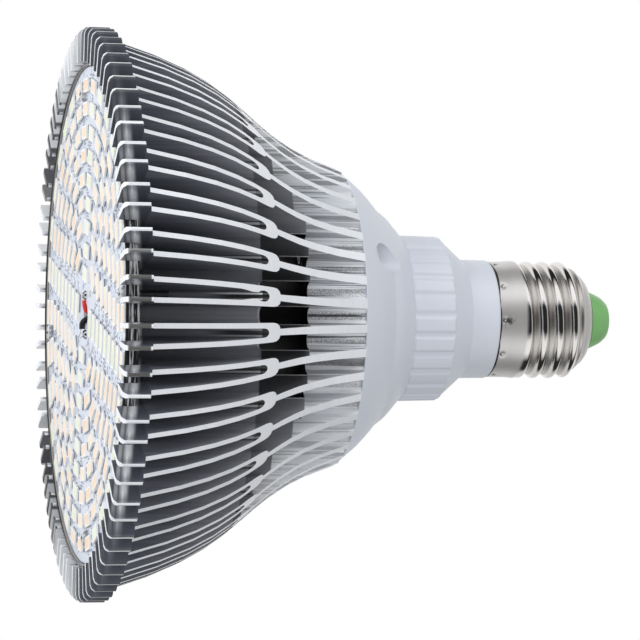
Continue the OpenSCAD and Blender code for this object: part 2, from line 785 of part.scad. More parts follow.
// Lead from the driver board to the inside of the cap shell, bent over the end of the spigot
module neutral_lead() {
    color("steelblue") lead([
        [-neutral_x, driver_top + lead_r + seat, lead_start],
        [-neutral_x * 1.05, driver_top + lead_r + fit, driver_end],
        [-neutral_x * 1.15, -lead_drop, lead_bend],
        [-neutral_x * 1.37, 0, lead_in_neck],
        [-neutral_x * 1.7, 0, lead_in_cap],
        [-cap_bore_r + 3 * lead_r, 0, spigot_end - 4.5 * lead_r],
        [-cap_bore_r + 2.2 * lead_r, 0, spigot_end + fit],
        [-cap_bore_r + 0.6 * lead_r, 0, spigot_end + 1.9 * lead_r],
        [-trough_r + seat, 0, spigot_end + 1.25 * lead_r]], lead_r);
}

heat_sink();
led_tray();
transfer_pad();
light_board();
led_packages();
amber_phosphor();
lime_phosphor();
board_screws();
red_lead();
black_lead();
board_solder();
driver_sleeve();
driver_board();
transformer_core();
transformer_coil();
input_capacitor();
output_capacitor();
film_capacitor();
choke();
fuse_resistor();
bridge_rectifier();
controller_chip();
neck_housing();
housing_screws();
cap_shell();
cap_nose();
centre_contact();
live_lead();
neutral_lead();
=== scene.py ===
"""Looks of an LED grow light bulb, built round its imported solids.

The bulb stands face down: its light face lies near z = 0 and its screw cap points up. Units are
metres, and a length that is written with MM is in millimetres. Directions round the bulb are
given in two ways: an azimuth is the usual angle from +X towards +Y, and a view angle counts from
the side that faces the camera, positive towards the top of the picture.
"""

import json
import logging
import math
from collections.abc import Callable, Sequence
from dataclasses import dataclass, field
from enum import Enum
from functools import cached_property

import bmesh
import bpy
import numpy as np
from mathutils import Matrix, Vector

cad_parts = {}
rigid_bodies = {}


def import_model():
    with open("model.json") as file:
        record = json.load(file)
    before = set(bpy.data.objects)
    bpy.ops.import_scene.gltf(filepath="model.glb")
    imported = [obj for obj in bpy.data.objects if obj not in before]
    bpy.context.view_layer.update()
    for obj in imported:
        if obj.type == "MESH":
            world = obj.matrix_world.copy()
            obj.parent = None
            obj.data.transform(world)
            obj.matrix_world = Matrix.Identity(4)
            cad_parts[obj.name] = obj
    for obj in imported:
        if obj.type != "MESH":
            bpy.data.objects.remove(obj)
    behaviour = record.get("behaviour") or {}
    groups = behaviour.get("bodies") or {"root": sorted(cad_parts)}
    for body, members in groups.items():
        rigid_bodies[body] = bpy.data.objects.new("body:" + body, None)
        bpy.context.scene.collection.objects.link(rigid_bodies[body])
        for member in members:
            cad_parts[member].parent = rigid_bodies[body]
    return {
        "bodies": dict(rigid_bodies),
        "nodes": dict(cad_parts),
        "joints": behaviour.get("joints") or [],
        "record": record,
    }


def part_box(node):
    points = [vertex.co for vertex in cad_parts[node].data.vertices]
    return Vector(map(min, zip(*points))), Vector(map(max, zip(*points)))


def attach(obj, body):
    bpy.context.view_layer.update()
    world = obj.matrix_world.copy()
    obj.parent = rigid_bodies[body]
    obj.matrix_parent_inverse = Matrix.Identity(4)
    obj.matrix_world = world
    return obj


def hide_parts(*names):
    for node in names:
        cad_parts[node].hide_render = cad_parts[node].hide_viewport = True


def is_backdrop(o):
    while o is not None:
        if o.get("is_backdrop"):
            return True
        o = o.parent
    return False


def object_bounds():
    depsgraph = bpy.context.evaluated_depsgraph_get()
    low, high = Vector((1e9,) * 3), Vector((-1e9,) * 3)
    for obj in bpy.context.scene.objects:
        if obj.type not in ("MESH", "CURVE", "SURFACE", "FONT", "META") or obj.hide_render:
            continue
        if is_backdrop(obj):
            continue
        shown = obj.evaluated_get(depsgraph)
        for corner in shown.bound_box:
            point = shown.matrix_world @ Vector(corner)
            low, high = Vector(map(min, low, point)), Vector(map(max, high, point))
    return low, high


MM = 0.001
NEAR_AZIMUTH = math.radians(-85.03)

Rgb = tuple[float, float, float]
Outline = list[tuple[float, float]]
Corners = tuple[tuple[float, float, float], ...]
log = logging.getLogger("bulb")


def linear(value: int) -> float:
    """Linear value of a screen value from 0 to 255."""
    share = value / 255
    return share / 12.92 if share <= 0.04045 else ((share + 0.055) / 1.055) ** 2.4


def srgb(red: int, green: int, blue: int) -> Rgb:
    """Linear colour of three screen values from 0 to 255."""
    return (linear(red), linear(green), linear(blue))


def shade(colour: Rgb, factor: float) -> Rgb:
    """A colour made lighter or darker by a factor."""
    return tuple(min(1.0, channel * factor) for channel in colour)


class Signal:
    """A value that runs between shader nodes; Python's operators on it add Math nodes."""

    def __init__(self, paint: "Paint", socket: bpy.types.NodeSocket) -> None:
        """Keeps the tree that the value belongs to, and its socket."""
        self.paint = paint
        self.socket = socket

    def __add__(self, other: "Signal | float") -> "Signal":
        """Sum with a value or a number."""
        return self.paint.math("ADD", self, other)

    __radd__ = __add__

    def __sub__(self, other: "Signal | float") -> "Signal":
        """This value less another."""
        return self.paint.math("SUBTRACT", self, other)

    def __rsub__(self, other: float) -> "Signal":
        """A number less this value."""
        return self.paint.math("SUBTRACT", other, self)

    def __mul__(self, other: "Signal | float") -> "Signal":
        """Product with a value or a number."""
        return self.paint.math("MULTIPLY", self, other)

    __rmul__ = __mul__

    def __truediv__(self, other: "Signal | float") -> "Signal":
        """This value divided by another."""
        return self.paint.math("DIVIDE", self, other)

    def __rtruediv__(self, other: float) -> "Signal":
        """A number divided by this value."""
        return self.paint.math("DIVIDE", other, self)

    def __abs__(self) -> "Signal":
        """Size of the value without its sign."""
        return self.paint.math("ABSOLUTE", self)

    def __round__(self) -> "Signal":
        """Nearest whole number."""
        return self.paint.math("ROUND", self)

    def at_most(self, other: "Signal | float") -> "Signal":
        """The smaller of two values."""
        return self.paint.math("MINIMUM", self, other)

    def at_least(self, other: "Signal | float") -> "Signal":
        """The larger of two values."""
        return self.paint.math("MAXIMUM", self, other)


class Paint:
    """The node tree of one material or world while it is being filled."""

    def __init__(self, owner: bpy.types.Material | bpy.types.World) -> None:
        """Starts an empty tree.

        Args:
            owner: The new material or world.
        """
        owner.use_nodes = True
        self.tree = owner.node_tree
        self.tree.nodes.clear()

    def node(self, kind: str, settings: dict | None = None, inputs: dict | None = None,
             output: str | int = 0) -> Signal:
        """Adds one node.

        Args:
            kind: Blender's type name of the node.
            settings: Properties of the node, set first; stops are those of a ramp.
            inputs: Values or signals by socket name or by place among the sockets in use.
            output: Name or place of the output that is wanted.

        Returns:
            The signal of that output.
        """
        made = self.tree.nodes.new(kind)
        for name, value in (settings or {}).items():
            if name == "stops":
                self._set_stops(made.color_ramp, value)
            else:
                setattr(made, name, value)
        for name, value in (inputs or {}).items():
            socket = self._pick(made.inputs, name)
            if isinstance(value, Signal):
                self.tree.links.new(value.socket, socket)
            elif socket.type == "RGBA" and len(value) == 3:
                socket.default_value = (*value, 1.0)
            else:
                socket.default_value = value
        if not made.outputs:
            return Signal(self, None)
        return Signal(self, self._pick(made.outputs, output))

    @staticmethod
    def _pick(sockets: Sequence[bpy.types.NodeSocket], key: str | int) -> bpy.types.NodeSocket:
        """Finds a socket among those that the node uses.

        Args:
            sockets: The node's inputs or outputs.
            key: Name of the socket, or its place among those in use.

        Returns:
            The socket.
        """
        used = [socket for socket in sockets if socket.enabled]
        if isinstance(key, int):
            return used[key]
        return next(socket for socket in used if socket.name == key)

    @staticmethod
    def _set_stops(ramp: bpy.types.ColorRamp, stops: Sequence[tuple[float, float]]) -> None:
        """Gives a ramp its grey stops.

        Args:
            ramp: The ramp of a new node.
            stops: Pairs of place and value, in order.
        """
        while len(ramp.elements) > 1:
            ramp.elements.remove(ramp.elements[0])
        ramp.elements[0].position = stops[0][0]
        ramp.elements[0].color = (stops[0][1],) * 3 + (1.0,)
        for place, value in stops[1:]:
            ramp.elements.new(place).color = (value, value, value, 1.0)

    def math(self, operation: str, *values: Signal | float) -> Signal:
        """One Math node on one or two values."""
        return self.node("ShaderNodeMath", {"operation": operation}, dict(enumerate(values)))

    def vector(self, operation: str, *values: Signal | tuple, output: str = "Vector") -> Signal:
        """One Vector Math node."""
        return self.node("ShaderNodeVectorMath", {"operation": operation},
                         dict(enumerate(values)), output)

    def join(self, x: Signal | float, y: Signal | float, z: Signal | float) -> Signal:
        """A vector from three values."""
        return self.node("ShaderNodeCombineXYZ", None, {0: x, 1: y, 2: z})

    def split(self, vector: Signal) -> tuple[Signal, Signal, Signal]:
        """Takes a vector apart.

        Args:
            vector: The vector.

        Returns:
            Its three values.
        """
        parts = self.node("ShaderNodeSeparateXYZ", None, {0: vector})
        outputs = parts.socket.node.outputs
        return tuple(Signal(self, outputs[axis]) for axis in range(3))

    def length(self, across: Signal, along: Signal) -> Signal:
        """Distance of a point in a plane from zero."""
        return self.vector("LENGTH", self.join(across, along, 0.0), output="Value")

    def noise(self, where: Signal, per_metre: float, detail: float = 2.0,
              rough: float = 0.5) -> Signal:
        """Soft noise from 0 to 1, with about that many grains in a metre."""
        return self.node("ShaderNodeTexNoise", None, {
            "Vector": where, "Scale": per_metre, "Detail": detail, "Roughness": rough})

    def step(self, value: Signal, low: float, high: float) -> Signal:
        """A soft step that is 0 at low and 1 at high."""
        return self.node("ShaderNodeMapRange", {"interpolation_type": "SMOOTHSTEP"}, {
            "Value": value, "From Min": low, "From Max": high})

    def fall(self, value: Signal, low: float, high: float) -> Signal:
        """A soft step that is 1 at low and 0 at high."""
        return 1 - self.step(value, low, high)

    def band(self, value: Signal, start: float, full: float, fade: float, end: float) -> Signal:
        """1 between two soft steps: it rises from start to full and falls from fade to end."""
        return self.step(value, start, full) * self.fall(value, fade, end)

    def close(self, value: Signal, target: float, width: float) -> Signal:
        """1 where a value is close to a target, and 0 from a width away."""
        return self.fall(abs(value - target), width * 0.5, width)

    def mix(self, factor: Signal, first: Signal | Rgb, second: Signal | Rgb) -> Signal:
        """A colour between two others."""
        return self.node("ShaderNodeMix", {"data_type": "RGBA"},
                         {"Factor": factor, "A": first, "B": second}, "Result")

    def bump(self, height: Signal, distance: float) -> Signal:
        """A normal that is bent by a height; distance is what a height of 1 stands for."""
        return self.node("ShaderNodeBump", None, {"Distance": distance, "Height": height})

    def surface(self, sockets: dict) -> None:
        """Closes the tree with one Principled shader."""
        shader = self.node("ShaderNodeBsdfPrincipled", None, sockets)
        self.node("ShaderNodeOutputMaterial", None, {"Surface": shader})


class SurfacePaint(Paint):
    """The node tree of a material, with what it can tell of the point that it colours."""

    @cached_property
    def place(self) -> Signal:
        """The point in the frame of the bulb, in metres."""
        return self.node("ShaderNodeTexCoord", output="Object")

    @cached_property
    def point(self) -> tuple[Signal, Signal, Signal]:
        """The point's x, y and z."""
        return self.split(self.place)

    @property
    def z(self) -> Signal:
        """Height of the point."""
        return self.point[2]

    def scaled(self, level: float, upward: float) -> Signal:
        """The point with its level part and its height scaled, as the place of a noise."""
        return self.vector("MULTIPLY", self.place, (level, level, upward))

    @cached_property
    def radius(self) -> Signal:
        """Distance from the axis."""
        return self.vector("LENGTH", self.scaled(1.0, 0.0), output="Value")

    @cached_property
    def turn(self) -> Signal:
        """Azimuth, in turns."""
        return self.math("ARCTAN2", self.point[1], self.point[0]) / math.tau

    @cached_property
    def near(self) -> Signal:
        """Turns away from the near side, -0.5 to 0.5, negative towards the picture's top."""
        away = self.turn - NEAR_AZIMUTH / math.tau
        return away - round(away)

    @cached_property
    def degrees(self) -> Signal:
        """Degrees away from the near side, 0 to 180."""
        return abs(self.near) * 360.0

    @cached_property
    def side(self) -> Signal:
        """How far round to a side: -1 at the top of the picture and 1 at the bottom."""
        return self.math("SINE", self.near * math.tau)

    @cached_property
    def facing(self) -> Signal:
        """1 on the near side and -1 on the far side."""
        return self.math("COSINE", self.near * math.tau)

    @cached_property
    def normal(self) -> Signal:
        """The way that the surface faces, before any bump."""
        return self.node("ShaderNodeNewGeometry", output="True Normal")

    @cached_property
    def upright(self) -> Signal:
        """How far the surface faces up or down, 0 to 1."""
        return abs(self.split(self.normal)[2])

    @cached_property
    def outward(self) -> Signal:
        """How far the surface faces away from the axis: 1 outwards, -1 inwards."""
        away = self.vector("NORMALIZE", self.scaled(1.0, 0.0))
        return self.vector("DOT_PRODUCT", self.normal, away, output="Value")


@dataclass(frozen=True)
class Finish:
    """A finish; its name is the slot of the record that it dresses."""

    name: str

    def material(self) -> bpy.types.Material:
        """Makes the finish.

        Returns:
            A new material.
        """
        made = bpy.data.materials.new(self.name)
        self.fill(SurfacePaint(made))
        return made

    def fill(self, paint: SurfacePaint) -> None:
        """Fills the node tree; each kind of finish has its own way."""
        raise NotImplementedError


@dataclass(frozen=True)
class Moulding(Finish):
    """Moulded or coated plastic with a fine grain and slight clouds of colour."""

    colour: Rgb
    roughness: float = 0.45
    cloud: float = 0.03
    grain_per_metre: float = 2500.0
    grain_depth: float = 0.02 * MM

    def fill(self, paint: SurfacePaint) -> None:
        """Clouds the colour and the gloss, and adds the grain as bump.

        Args:
            paint: The tree to fill.
        """
        clouds = paint.noise(paint.place, 60.0, 3.0)
        grain = paint.noise(paint.place, self.grain_per_metre, 2.0)
        colour = paint.mix(clouds, shade(self.colour, 1 - self.cloud),
                           shade(self.colour, 1 + self.cloud))
        paint.surface({
            "Base Color": colour,
            "Roughness": (clouds - 0.5) * 0.12 + self.roughness,
            "Normal": paint.bump(grain, self.grain_depth),
        })


@dataclass(frozen=True)
class BareMetal(Finish):
    """Metal with fine scratches, dull or bright."""

    colour: Rgb
    roughness: float = 0.3
    scratch_per_metre: float = 1500.0

    def fill(self, paint: SurfacePaint) -> None:
        """Lays scratches over the colour, the gloss and the normal.

        Args:
            paint: The tree to fill.
        """
        scratch = paint.noise(paint.place, self.scratch_per_metre, 4.0, 0.6)
        clouds = paint.noise(paint.place, 200.0, 2.0)
        paint.surface({
            "Base Color": paint.mix(clouds, shade(self.colour, 0.86), shade(self.colour, 1.08)),
            "Metallic": 1.0,
            "Roughness": (scratch - 0.5) * 0.16 + self.roughness,
            "Normal": paint.bump(scratch, 0.01 * MM),
        })


@dataclass(frozen=True)
class TurnedExtrusion(Finish):
    """Extruded aluminium with drawn flanks, on which a lathe has cut bright edges.

    A boundary between two tones is slanted, so that it stands upright in the picture. The flanks
    get painted light from the height painted_light_from to the window, and over hub_painted_light
    outside its radius. From slot_from outside it there are slots, which get painted shade between
    slot_painted_shade_from and slot_painted_shade_full. At the sides the silver behind the window
    starts late_by further on. The heights of the painted glare are those in the rim band, and
    flank_length is how far a painted dark reflection reaches inwards there.
    """

    window_start: float
    window_end: float
    window_radius: float
    rim_radius: float
    rim_end: float
    stems: int
    prong_offset: float
    slant: float = 0.22
    edge: float = 0.1 * MM
    wall: float = 0.2 * MM
    stretch: float = 0.02
    fine_per_metre: float = 1700.0
    wide_per_metre: float = 330.0
    lathe_per_metre: float = 2200.0
    speckle_per_metre: float = 3600.0
    comb_per_metre: float = 2600.0
    # Where the painted light on the flanks starts, and how far out from the window's radius it
    # reaches.
    painted_light_from: float = 12 * MM
    hub_painted_light: float = 16 * MM
    slot_from: float = 5 * MM
    # Heights between which the painted shade in the slots grows.
    slot_painted_shade_from: float = 20 * MM
    slot_painted_shade_full: float = 28 * MM
    late_by: float = 9 * MM
    # Heights of the painted glare on the rim band.
    glare_height: float = 1.9 * MM
    peak_height: float = 1.8 * MM
    foot_height: float = 0.3 * MM
    glare_wave: float = 0.8 * MM
    flank_length: float = 6.5 * MM
    turned: Rgb = srgb(243, 246, 252)
    # Colour of the painted dark reflection on the rim's tips.
    tip: Rgb = srgb(66, 65, 62)
    flank: Rgb = srgb(91, 95, 105)
    # The flank colour with painted light.
    flank_painted_lit: Rgb = srgb(206, 208, 216)
    silver: Rgb = srgb(248, 251, 255)
    # Darker silver of the streaks, partly drawn grain and partly painted reflection.
    silver_dark: Rgb = srgb(108, 109, 115)
    # Colour of painted shade and painted dark reflection.
    shadow: Rgb = srgb(26, 26, 29)

    def fill(self, paint: SurfacePaint) -> None:
        """Tells turned faces from drawn flanks by the way they face, and dresses each.

        Args:
            paint: The tree to fill.
        """
        on_rim = paint.fall(paint.z, self.rim_end - self.edge, self.rim_end + self.edge)
        turned = paint.step(paint.upright, 0.02, 0.06)
        turned = turned.at_least(paint.step(abs(paint.outward), 0.6, 0.85) * on_rim)
        along = paint.scaled(1.0, self.stretch)
        fine = paint.noise(along, self.fine_per_metre, 4.0, 0.65)
        wide = paint.noise(along, self.wide_per_metre, 3.0)
        streak = paint.step(fine * 0.5 + wide * 0.5, 0.36, 0.64)
        flanks = paint.mix(on_rim, self._grooved(paint, streak), self._rim(paint))
        lathe = paint.noise(paint.scaled(0.1, 1.0), self.lathe_per_metre, 3.0)
        cut = paint.mix(lathe, shade(self.turned, 0.93), shade(self.turned, 1.05))
        # Painted dark reflection on the rim's tips.
        cut = paint.mix(self._tip_dark_reflection(paint) * on_rim, cut, self.tip)
        # Painted shade on the window's end walls.
        walls = paint.close(paint.z, self.window_end, self.wall)
        walls = walls.at_least(paint.close(paint.z, self.window_start, self.wall))
        walls = walls * paint.fall(paint.radius, self.window_radius - 0.3 * MM, self.window_radius)
        cut = paint.mix(walls, cut, self.shadow)
        behind = paint.step(paint.z, self.window_end, self.window_end + 0.3 * MM)
        paint.surface({
            "Base Color": paint.mix(turned, flanks, cut),
            "Metallic": (turned * 0.15).at_least(behind * 0.2),
            "Roughness": turned * 0.1 + fine * 0.1 + 0.25,
            "Normal": paint.bump(fine * (1 - turned) + lathe * turned * 0.5, 0.012 * MM),
        })

    def _grooved(self, paint: SurfacePaint, streak: Signal) -> Signal:
        """Colours the drawn faces: grey, painted shade beside the window, silver behind it.

        Args:
            paint: The tree to fill.
            streak: The streaks of the drawn metal, 0 to 1.

        Returns:
            The colour.
        """
        up = abs(paint.side)
        seen = paint.z + (paint.radius - self.window_radius).at_least(0.0) * self.slant
        late = seen + paint.step(up, 0.5, 0.95) * self.late_by
        behind = paint.step(late, self.window_end - 0.15 * MM, self.window_end + 0.15 * MM)
        beside = paint.step(seen, self.window_start - self.edge, self.window_start + self.edge)
        beside = beside * (1 - behind)
        # Painted white reflection on the round floors of valleys and slots.
        painted_white_reflection = paint.fall(abs(paint.outward - 0.8), 0.05, 0.14)
        slot_start = self.window_radius + self.slot_from
        slot = paint.step(paint.radius, slot_start, slot_start + 1 * MM)
        front = self._front(paint, seen, streak, slot, painted_white_reflection)
        # Painted shade beside the window, weaker towards the sides.
        mirrored = 0.93 - paint.step(up, 0.3, 0.55) * 0.45
        front = paint.mix(beside * mirrored, front, self.shadow)
        colour = paint.mix(behind, front, self._rear(paint, streak, painted_white_reflection))
        # Painted highlights on the window's edges: a line at its lip and one along its burr.
        floor = paint.step(paint.outward, 0.1, 0.2) * (1 - slot)
        lip = paint.close(paint.z, self.window_start - 0.25 * MM, 0.3 * MM) * floor
        ledge = (paint.radius - self.window_radius) * (up + 0.05)
        burr_painted_highlight = paint.fall(ledge, 0.1 * MM, 0.22 * MM) * beside
        return paint.mix(lip.at_least(burr_painted_highlight) * 0.9, colour, self.silver)

    def _front(self, paint: SurfacePaint, seen: Signal, streak: Signal, slot: Signal,
               painted_white_reflection: Signal) -> Signal:
        """Colours the flanks in front of the window, with painted light, and painted shade in the
        slots between the prongs.

        Args:
            paint: The tree to fill.
            seen: Height of the point, slanted.
            streak: The streaks of the drawn metal, 0 to 1.
            slot: 1 where the prongs are.
            painted_white_reflection: 1 where a round floor gets a painted white reflection.

        Returns:
            The colour.
        """
        # Painted light on the flanks, growing towards the window and near the hub.
        towards = paint.step(seen, self.painted_light_from, self.window_start)
        inside = paint.fall(paint.radius, self.window_radius, self.window_radius + self.hub_painted_light)
        colour = paint.mix(streak * 0.15 + towards * 0.25 + inside * 0.6, self.flank,
                           self.flank_painted_lit)
        # Painted shade in the slots, with a painted white reflection on their round floors.
        slot_painted_shade = paint.step(paint.outward, 0.1, 0.3) * slot
        slot_painted_shade = slot_painted_shade * paint.step(seen, self.slot_painted_shade_from, self.slot_painted_shade_full)
        colour = paint.mix(slot_painted_shade * 0.9, colour, self.shadow)
        return paint.mix(slot_painted_shade * painted_white_reflection, colour, self.silver)

    def _rear(self, paint: SurfacePaint, streak: Signal, painted_white_reflection: Signal) -> Signal:
        """Colours what lies behind the window: silver, with a speckled band of painted dark
        reflection in each valley.

        Args:
            paint: The tree to fill.
            streak: The streaks of the drawn metal, 0 to 1.
            painted_white_reflection: 1 where a round floor gets a painted white reflection.

        Returns:
            The colour.
        """
        up = abs(paint.side)
        middle = paint.fall(up, 0.15, 0.45)
        # Streaks of drawn grain and painted reflection; painted light at the sides and bottom.
        drawn = paint.step(streak, 0.35, 0.6) * (middle * 0.38 + 0.62) + (1 - middle) * 0.36
        drawn = drawn + paint.side.at_least(0.0) * 0.3
        colour = paint.mix(drawn, self.silver_dark, self.silver)
        # Speckled painted dark reflection along the middle of each valley floor.
        speckle = paint.step(paint.noise(paint.place, self.speckle_per_metre, 1.0), 0.36, 0.66)
        core = paint.step(paint.outward, 0.9, 0.96) * (0.95 - up * 0.45)
        colour = paint.mix(core * (speckle * 0.42 + 0.2), colour, self.shadow)
        return paint.mix(painted_white_reflection * 0.9, colour, self.silver)

    def _rim(self, paint: SurfacePaint) -> Signal:
        """Colours the flanks in the rim band, with soft painted glare, a painted silvery
        reflection on the far side, and painted dark reflection and painted shade on part of the
        far side.

        Args:
            paint: The tree to fill.

        Returns:
            The colour.
        """
        inward = self.rim_radius - paint.radius
        seen = paint.z - inward * paint.facing * self.slant
        wave = paint.noise(paint.join(paint.turn * 3.0, 0.0, 0.0), 5.0, 1.0)
        height = seen + (wave - 0.5) * self.glare_wave
        combed = paint.noise(paint.join(paint.turn * 6.0, 0.0, height), self.comb_per_metre, 2.0)
        # Painted glare: a broad band, a thin one near the foot and a bright peak.
        broad = paint.fall(abs(height - self.glare_height), 0.25 * MM, 1.3 * MM)
        thin = paint.fall(abs(height - self.foot_height), 0.2 * MM, 0.6 * MM)
        peak = paint.fall(abs(height - self.peak_height), 0.1 * MM, 0.55 * MM)
        glare = (broad * (combed * 0.5 + 0.7)).at_least(thin * 0.5).at_least(peak * 1.6)
        glare = glare * (paint.step(inward, 0.1 * MM, 4.0 * MM) * 0.75 + 0.25)
        glare = glare * (paint.step(paint.facing, 0.62, 0.85) * 0.9 + 0.1)
        colour = paint.mix(glare.at_most(1.0), shade(self.flank, 0.85), self.silver)
        # Painted silvery reflection on the far side.
        far = paint.fall(paint.facing, -0.15, 0.12)
        colour = paint.mix(far * 0.95, colour, shade(self.silver, 0.95))
        # Painted dark reflection reaching inwards, and painted shade along the foot.
        reach = paint.step(paint.degrees, 134, 150) * self.flank_length
        dark = paint.step(inward + reach, 6.0 * MM, 6.8 * MM)
        dark = dark.at_least(paint.fall(paint.z, 0.2 * MM, 0.4 * MM))
        zone = paint.band(paint.degrees, 117, 125, 150, 153)
        return paint.mix(dark * zone * 0.95, colour, shade(self.flank, 0.6))

    def _tip_dark_reflection(self, paint: SurfacePaint) -> Signal:
        """Works out where the rim's tips get painted dark reflection and painted shade.

        Args:
            paint: The tree to fill.

        Returns:
            The share of painted dark, 0 to 1: in the middle, at both sides and at the far foot.
        """
        middle = paint.fall(paint.degrees, 11, 15)
        far = paint.step(paint.degrees, 95, 105)
        side = paint.step(paint.degrees, 40, 46) * (1 - far)
        share = paint.turn * self.stems
        across = (share - round(share)) * paint.radius * math.tau / self.stems
        away = across * paint.math("SIGN", paint.near)
        from_prong = away - paint.math("SIGN", away) * self.prong_offset
        core = paint.fall(abs(from_prong), 0.33 * MM, 0.42 * MM)
        body = paint.fall(from_prong, -0.15 * MM, -0.05 * MM)
        foot = paint.band(paint.degrees, 112, 118, 148, 156)
        foot = foot * paint.fall(paint.z, 0.35 * MM, 0.6 * MM)
        ends = paint.band(paint.z, 0.3 * MM, 0.7 * MM, self.rim_end - 0.9 * MM,
                          self.rim_end - 0.5 * MM)
        shown = (middle * ends * 0.95).at_least(side * body * 0.95)
        return shown.at_least(far * ends * core * 0.5).at_least(foot * 0.95)


@dataclass(frozen=True)
class DrawnSheet(Finish):
    """Thin sheet metal: painted reflection bands round its outer wall, and painted shade on its
    duller inner wall.
    """

    lip: float
    stretch: float = 0.04
    rings_per_metre: float = 2300.0
    colour: Rgb = srgb(236, 237, 240)
    # Outer wall's painted dark reflection; inner wall's painted shade, lighter at the lip.
    dark: Rgb = srgb(46, 45, 46)
    inner: Rgb = srgb(84, 80, 75)
    inner_painted_light_at_lip: Rgb = srgb(176, 172, 166)

    def fill(self, paint: SurfacePaint) -> None:
        """Paints reflection bands round the outer wall and shade on the rougher inner wall.

        Args:
            paint: The tree to fill.
        """
        height = paint.z - self.lip
        inside = paint.fall(paint.outward, -0.7, -0.3) * paint.step(height, 0.25 * MM, 0.4 * MM)
        # Painted shade on the inner wall, lighter towards the lip.
        dull = paint.mix(paint.step(height, 0.3 * MM, 1.7 * MM), self.inner_painted_light_at_lip, self.inner)
        # Painted reflection: bright bands on the dark outer wall.
        rings = paint.noise(paint.scaled(self.stretch, 1.0), self.rings_per_metre, 3.0, 0.7)
        bright = paint.step(rings, 0.49, 0.57) * paint.step(height, 0.5 * MM, 0.9 * MM)
        paint.surface({
            "Base Color": paint.mix(inside, paint.mix(bright, self.dark, self.colour), dull),
            "Metallic": 0.35 - inside * 0.2,
            "Roughness": rings * 0.2 + inside * 0.2 + 0.16,
            "Normal": paint.bump(rings, 0.02 * MM),
        })


@dataclass(frozen=True)
class BoardMask(Finish):
    """White solder mask on a round board, with traces that follow the rings of lights."""

    ring_radius: float
    ring_step: float
    rings: int
    quarter_most: int
    first_turn: float
    dot_from_ring: float = 0.3
    mask: Rgb = srgb(226, 233, 245)
    mask_low: Rgb = srgb(202, 213, 232)
    trace: Rgb = srgb(92, 102, 126)
    via: Rgb = srgb(62, 68, 84)

    def fill(self, paint: SurfacePaint) -> None:
        """Works out each point's ring and place in its cell, and draws gaps and dots there.

        Args:
            paint: The tree to fill.
        """
        depth = (self.ring_radius - paint.radius) / self.ring_step
        ring = round(depth).at_least(0.0).at_most(self.rings - 1.0)
        count = (self.rings - ring).at_most(float(self.quarter_most)) * 4
        cell = (paint.turn - self.first_turn / math.tau) * count
        along = abs(cell - round(cell))
        across = abs(depth - ring)
        from_edge = (0.5 - along) * (paint.radius * math.tau / count)
        line = paint.close(from_edge - across * 1.5 * MM, 0.5 * MM, 0.3 * MM)
        outer = paint.close((0.5 - across) * self.ring_step, 0.35 * MM, 0.25 * MM)
        traces = line.at_least(outer * paint.step(along, 0.14, 0.2))
        from_dot = (across - self.dot_from_ring) * self.ring_step
        dot = paint.fall(paint.length(from_edge, from_dot), 0.3 * MM, 0.45 * MM)
        breaks = paint.step(paint.noise(paint.place, 260.0, 1.0), 0.5, 0.56)
        cloud = paint.noise(paint.place, 45.0, 2.0)
        colour = paint.mix(cloud, self.mask_low, self.mask)
        colour = paint.mix(traces * breaks * 0.85, colour, self.trace)
        paint.surface({
            "Base Color": paint.mix(dot, colour, self.via),
            "Roughness": cloud * 0.1 + 0.3,
            "Normal": paint.bump(1 - traces, 0.03 * MM),
        })


@dataclass(frozen=True)
class PackageMoulding(Finish):
    """White moulded packages, with dark solder pads along the foot of their sides."""

    foot: float
    pad_height: float = 0.36 * MM
    colour: Rgb = srgb(248, 248, 246)
    pad: Rgb = srgb(84, 90, 108)

    def fill(self, paint: SurfacePaint) -> None:
        """Breaks the dark line at each foot into short strokes.

        Args:
            paint: The tree to fill.
        """
        side = paint.fall(paint.upright, 0.3, 0.6)
        grain = paint.noise(paint.place, 3000.0, 3.0)
        patches = paint.step(paint.noise(paint.place, 330.0, 2.0), 0.44, 0.52)
        above = self.foot - paint.z + (grain - 0.5) * 0.1 * MM
        low = paint.fall(above, self.pad_height - 0.08 * MM, self.pad_height)
        paint.surface({
            "Base Color": paint.mix(side * low * patches * 0.8, self.colour, self.pad),
            "Roughness": grain * 0.1 + 0.3,
            "Normal": paint.bump(grain, 0.01 * MM),
        })


@dataclass(frozen=True)
class Phosphor(Finish):
    """Cast phosphor gel, which differs a little from light to light."""

    colour: Rgb
    deep: Rgb
    pale: Rgb = srgb(255, 250, 240)

    def fill(self, paint: SurfacePaint) -> None:
        """Varies the colour from light to light and across each one.

        Args:
            paint: The tree to fill.
        """
        batch = paint.noise(paint.place, 70.0, 1.0)
        grain = paint.noise(paint.place, 1800.0, 3.0)
        colour = paint.mix(paint.step(batch, 0.42, 0.68), self.colour, self.deep)
        paint.surface({
            "Base Color": paint.mix(grain * 0.25, colour, self.pale),
            "Roughness": grain * 0.2 + 0.3,
            "Normal": paint.bump(grain, 0.02 * MM),
        })


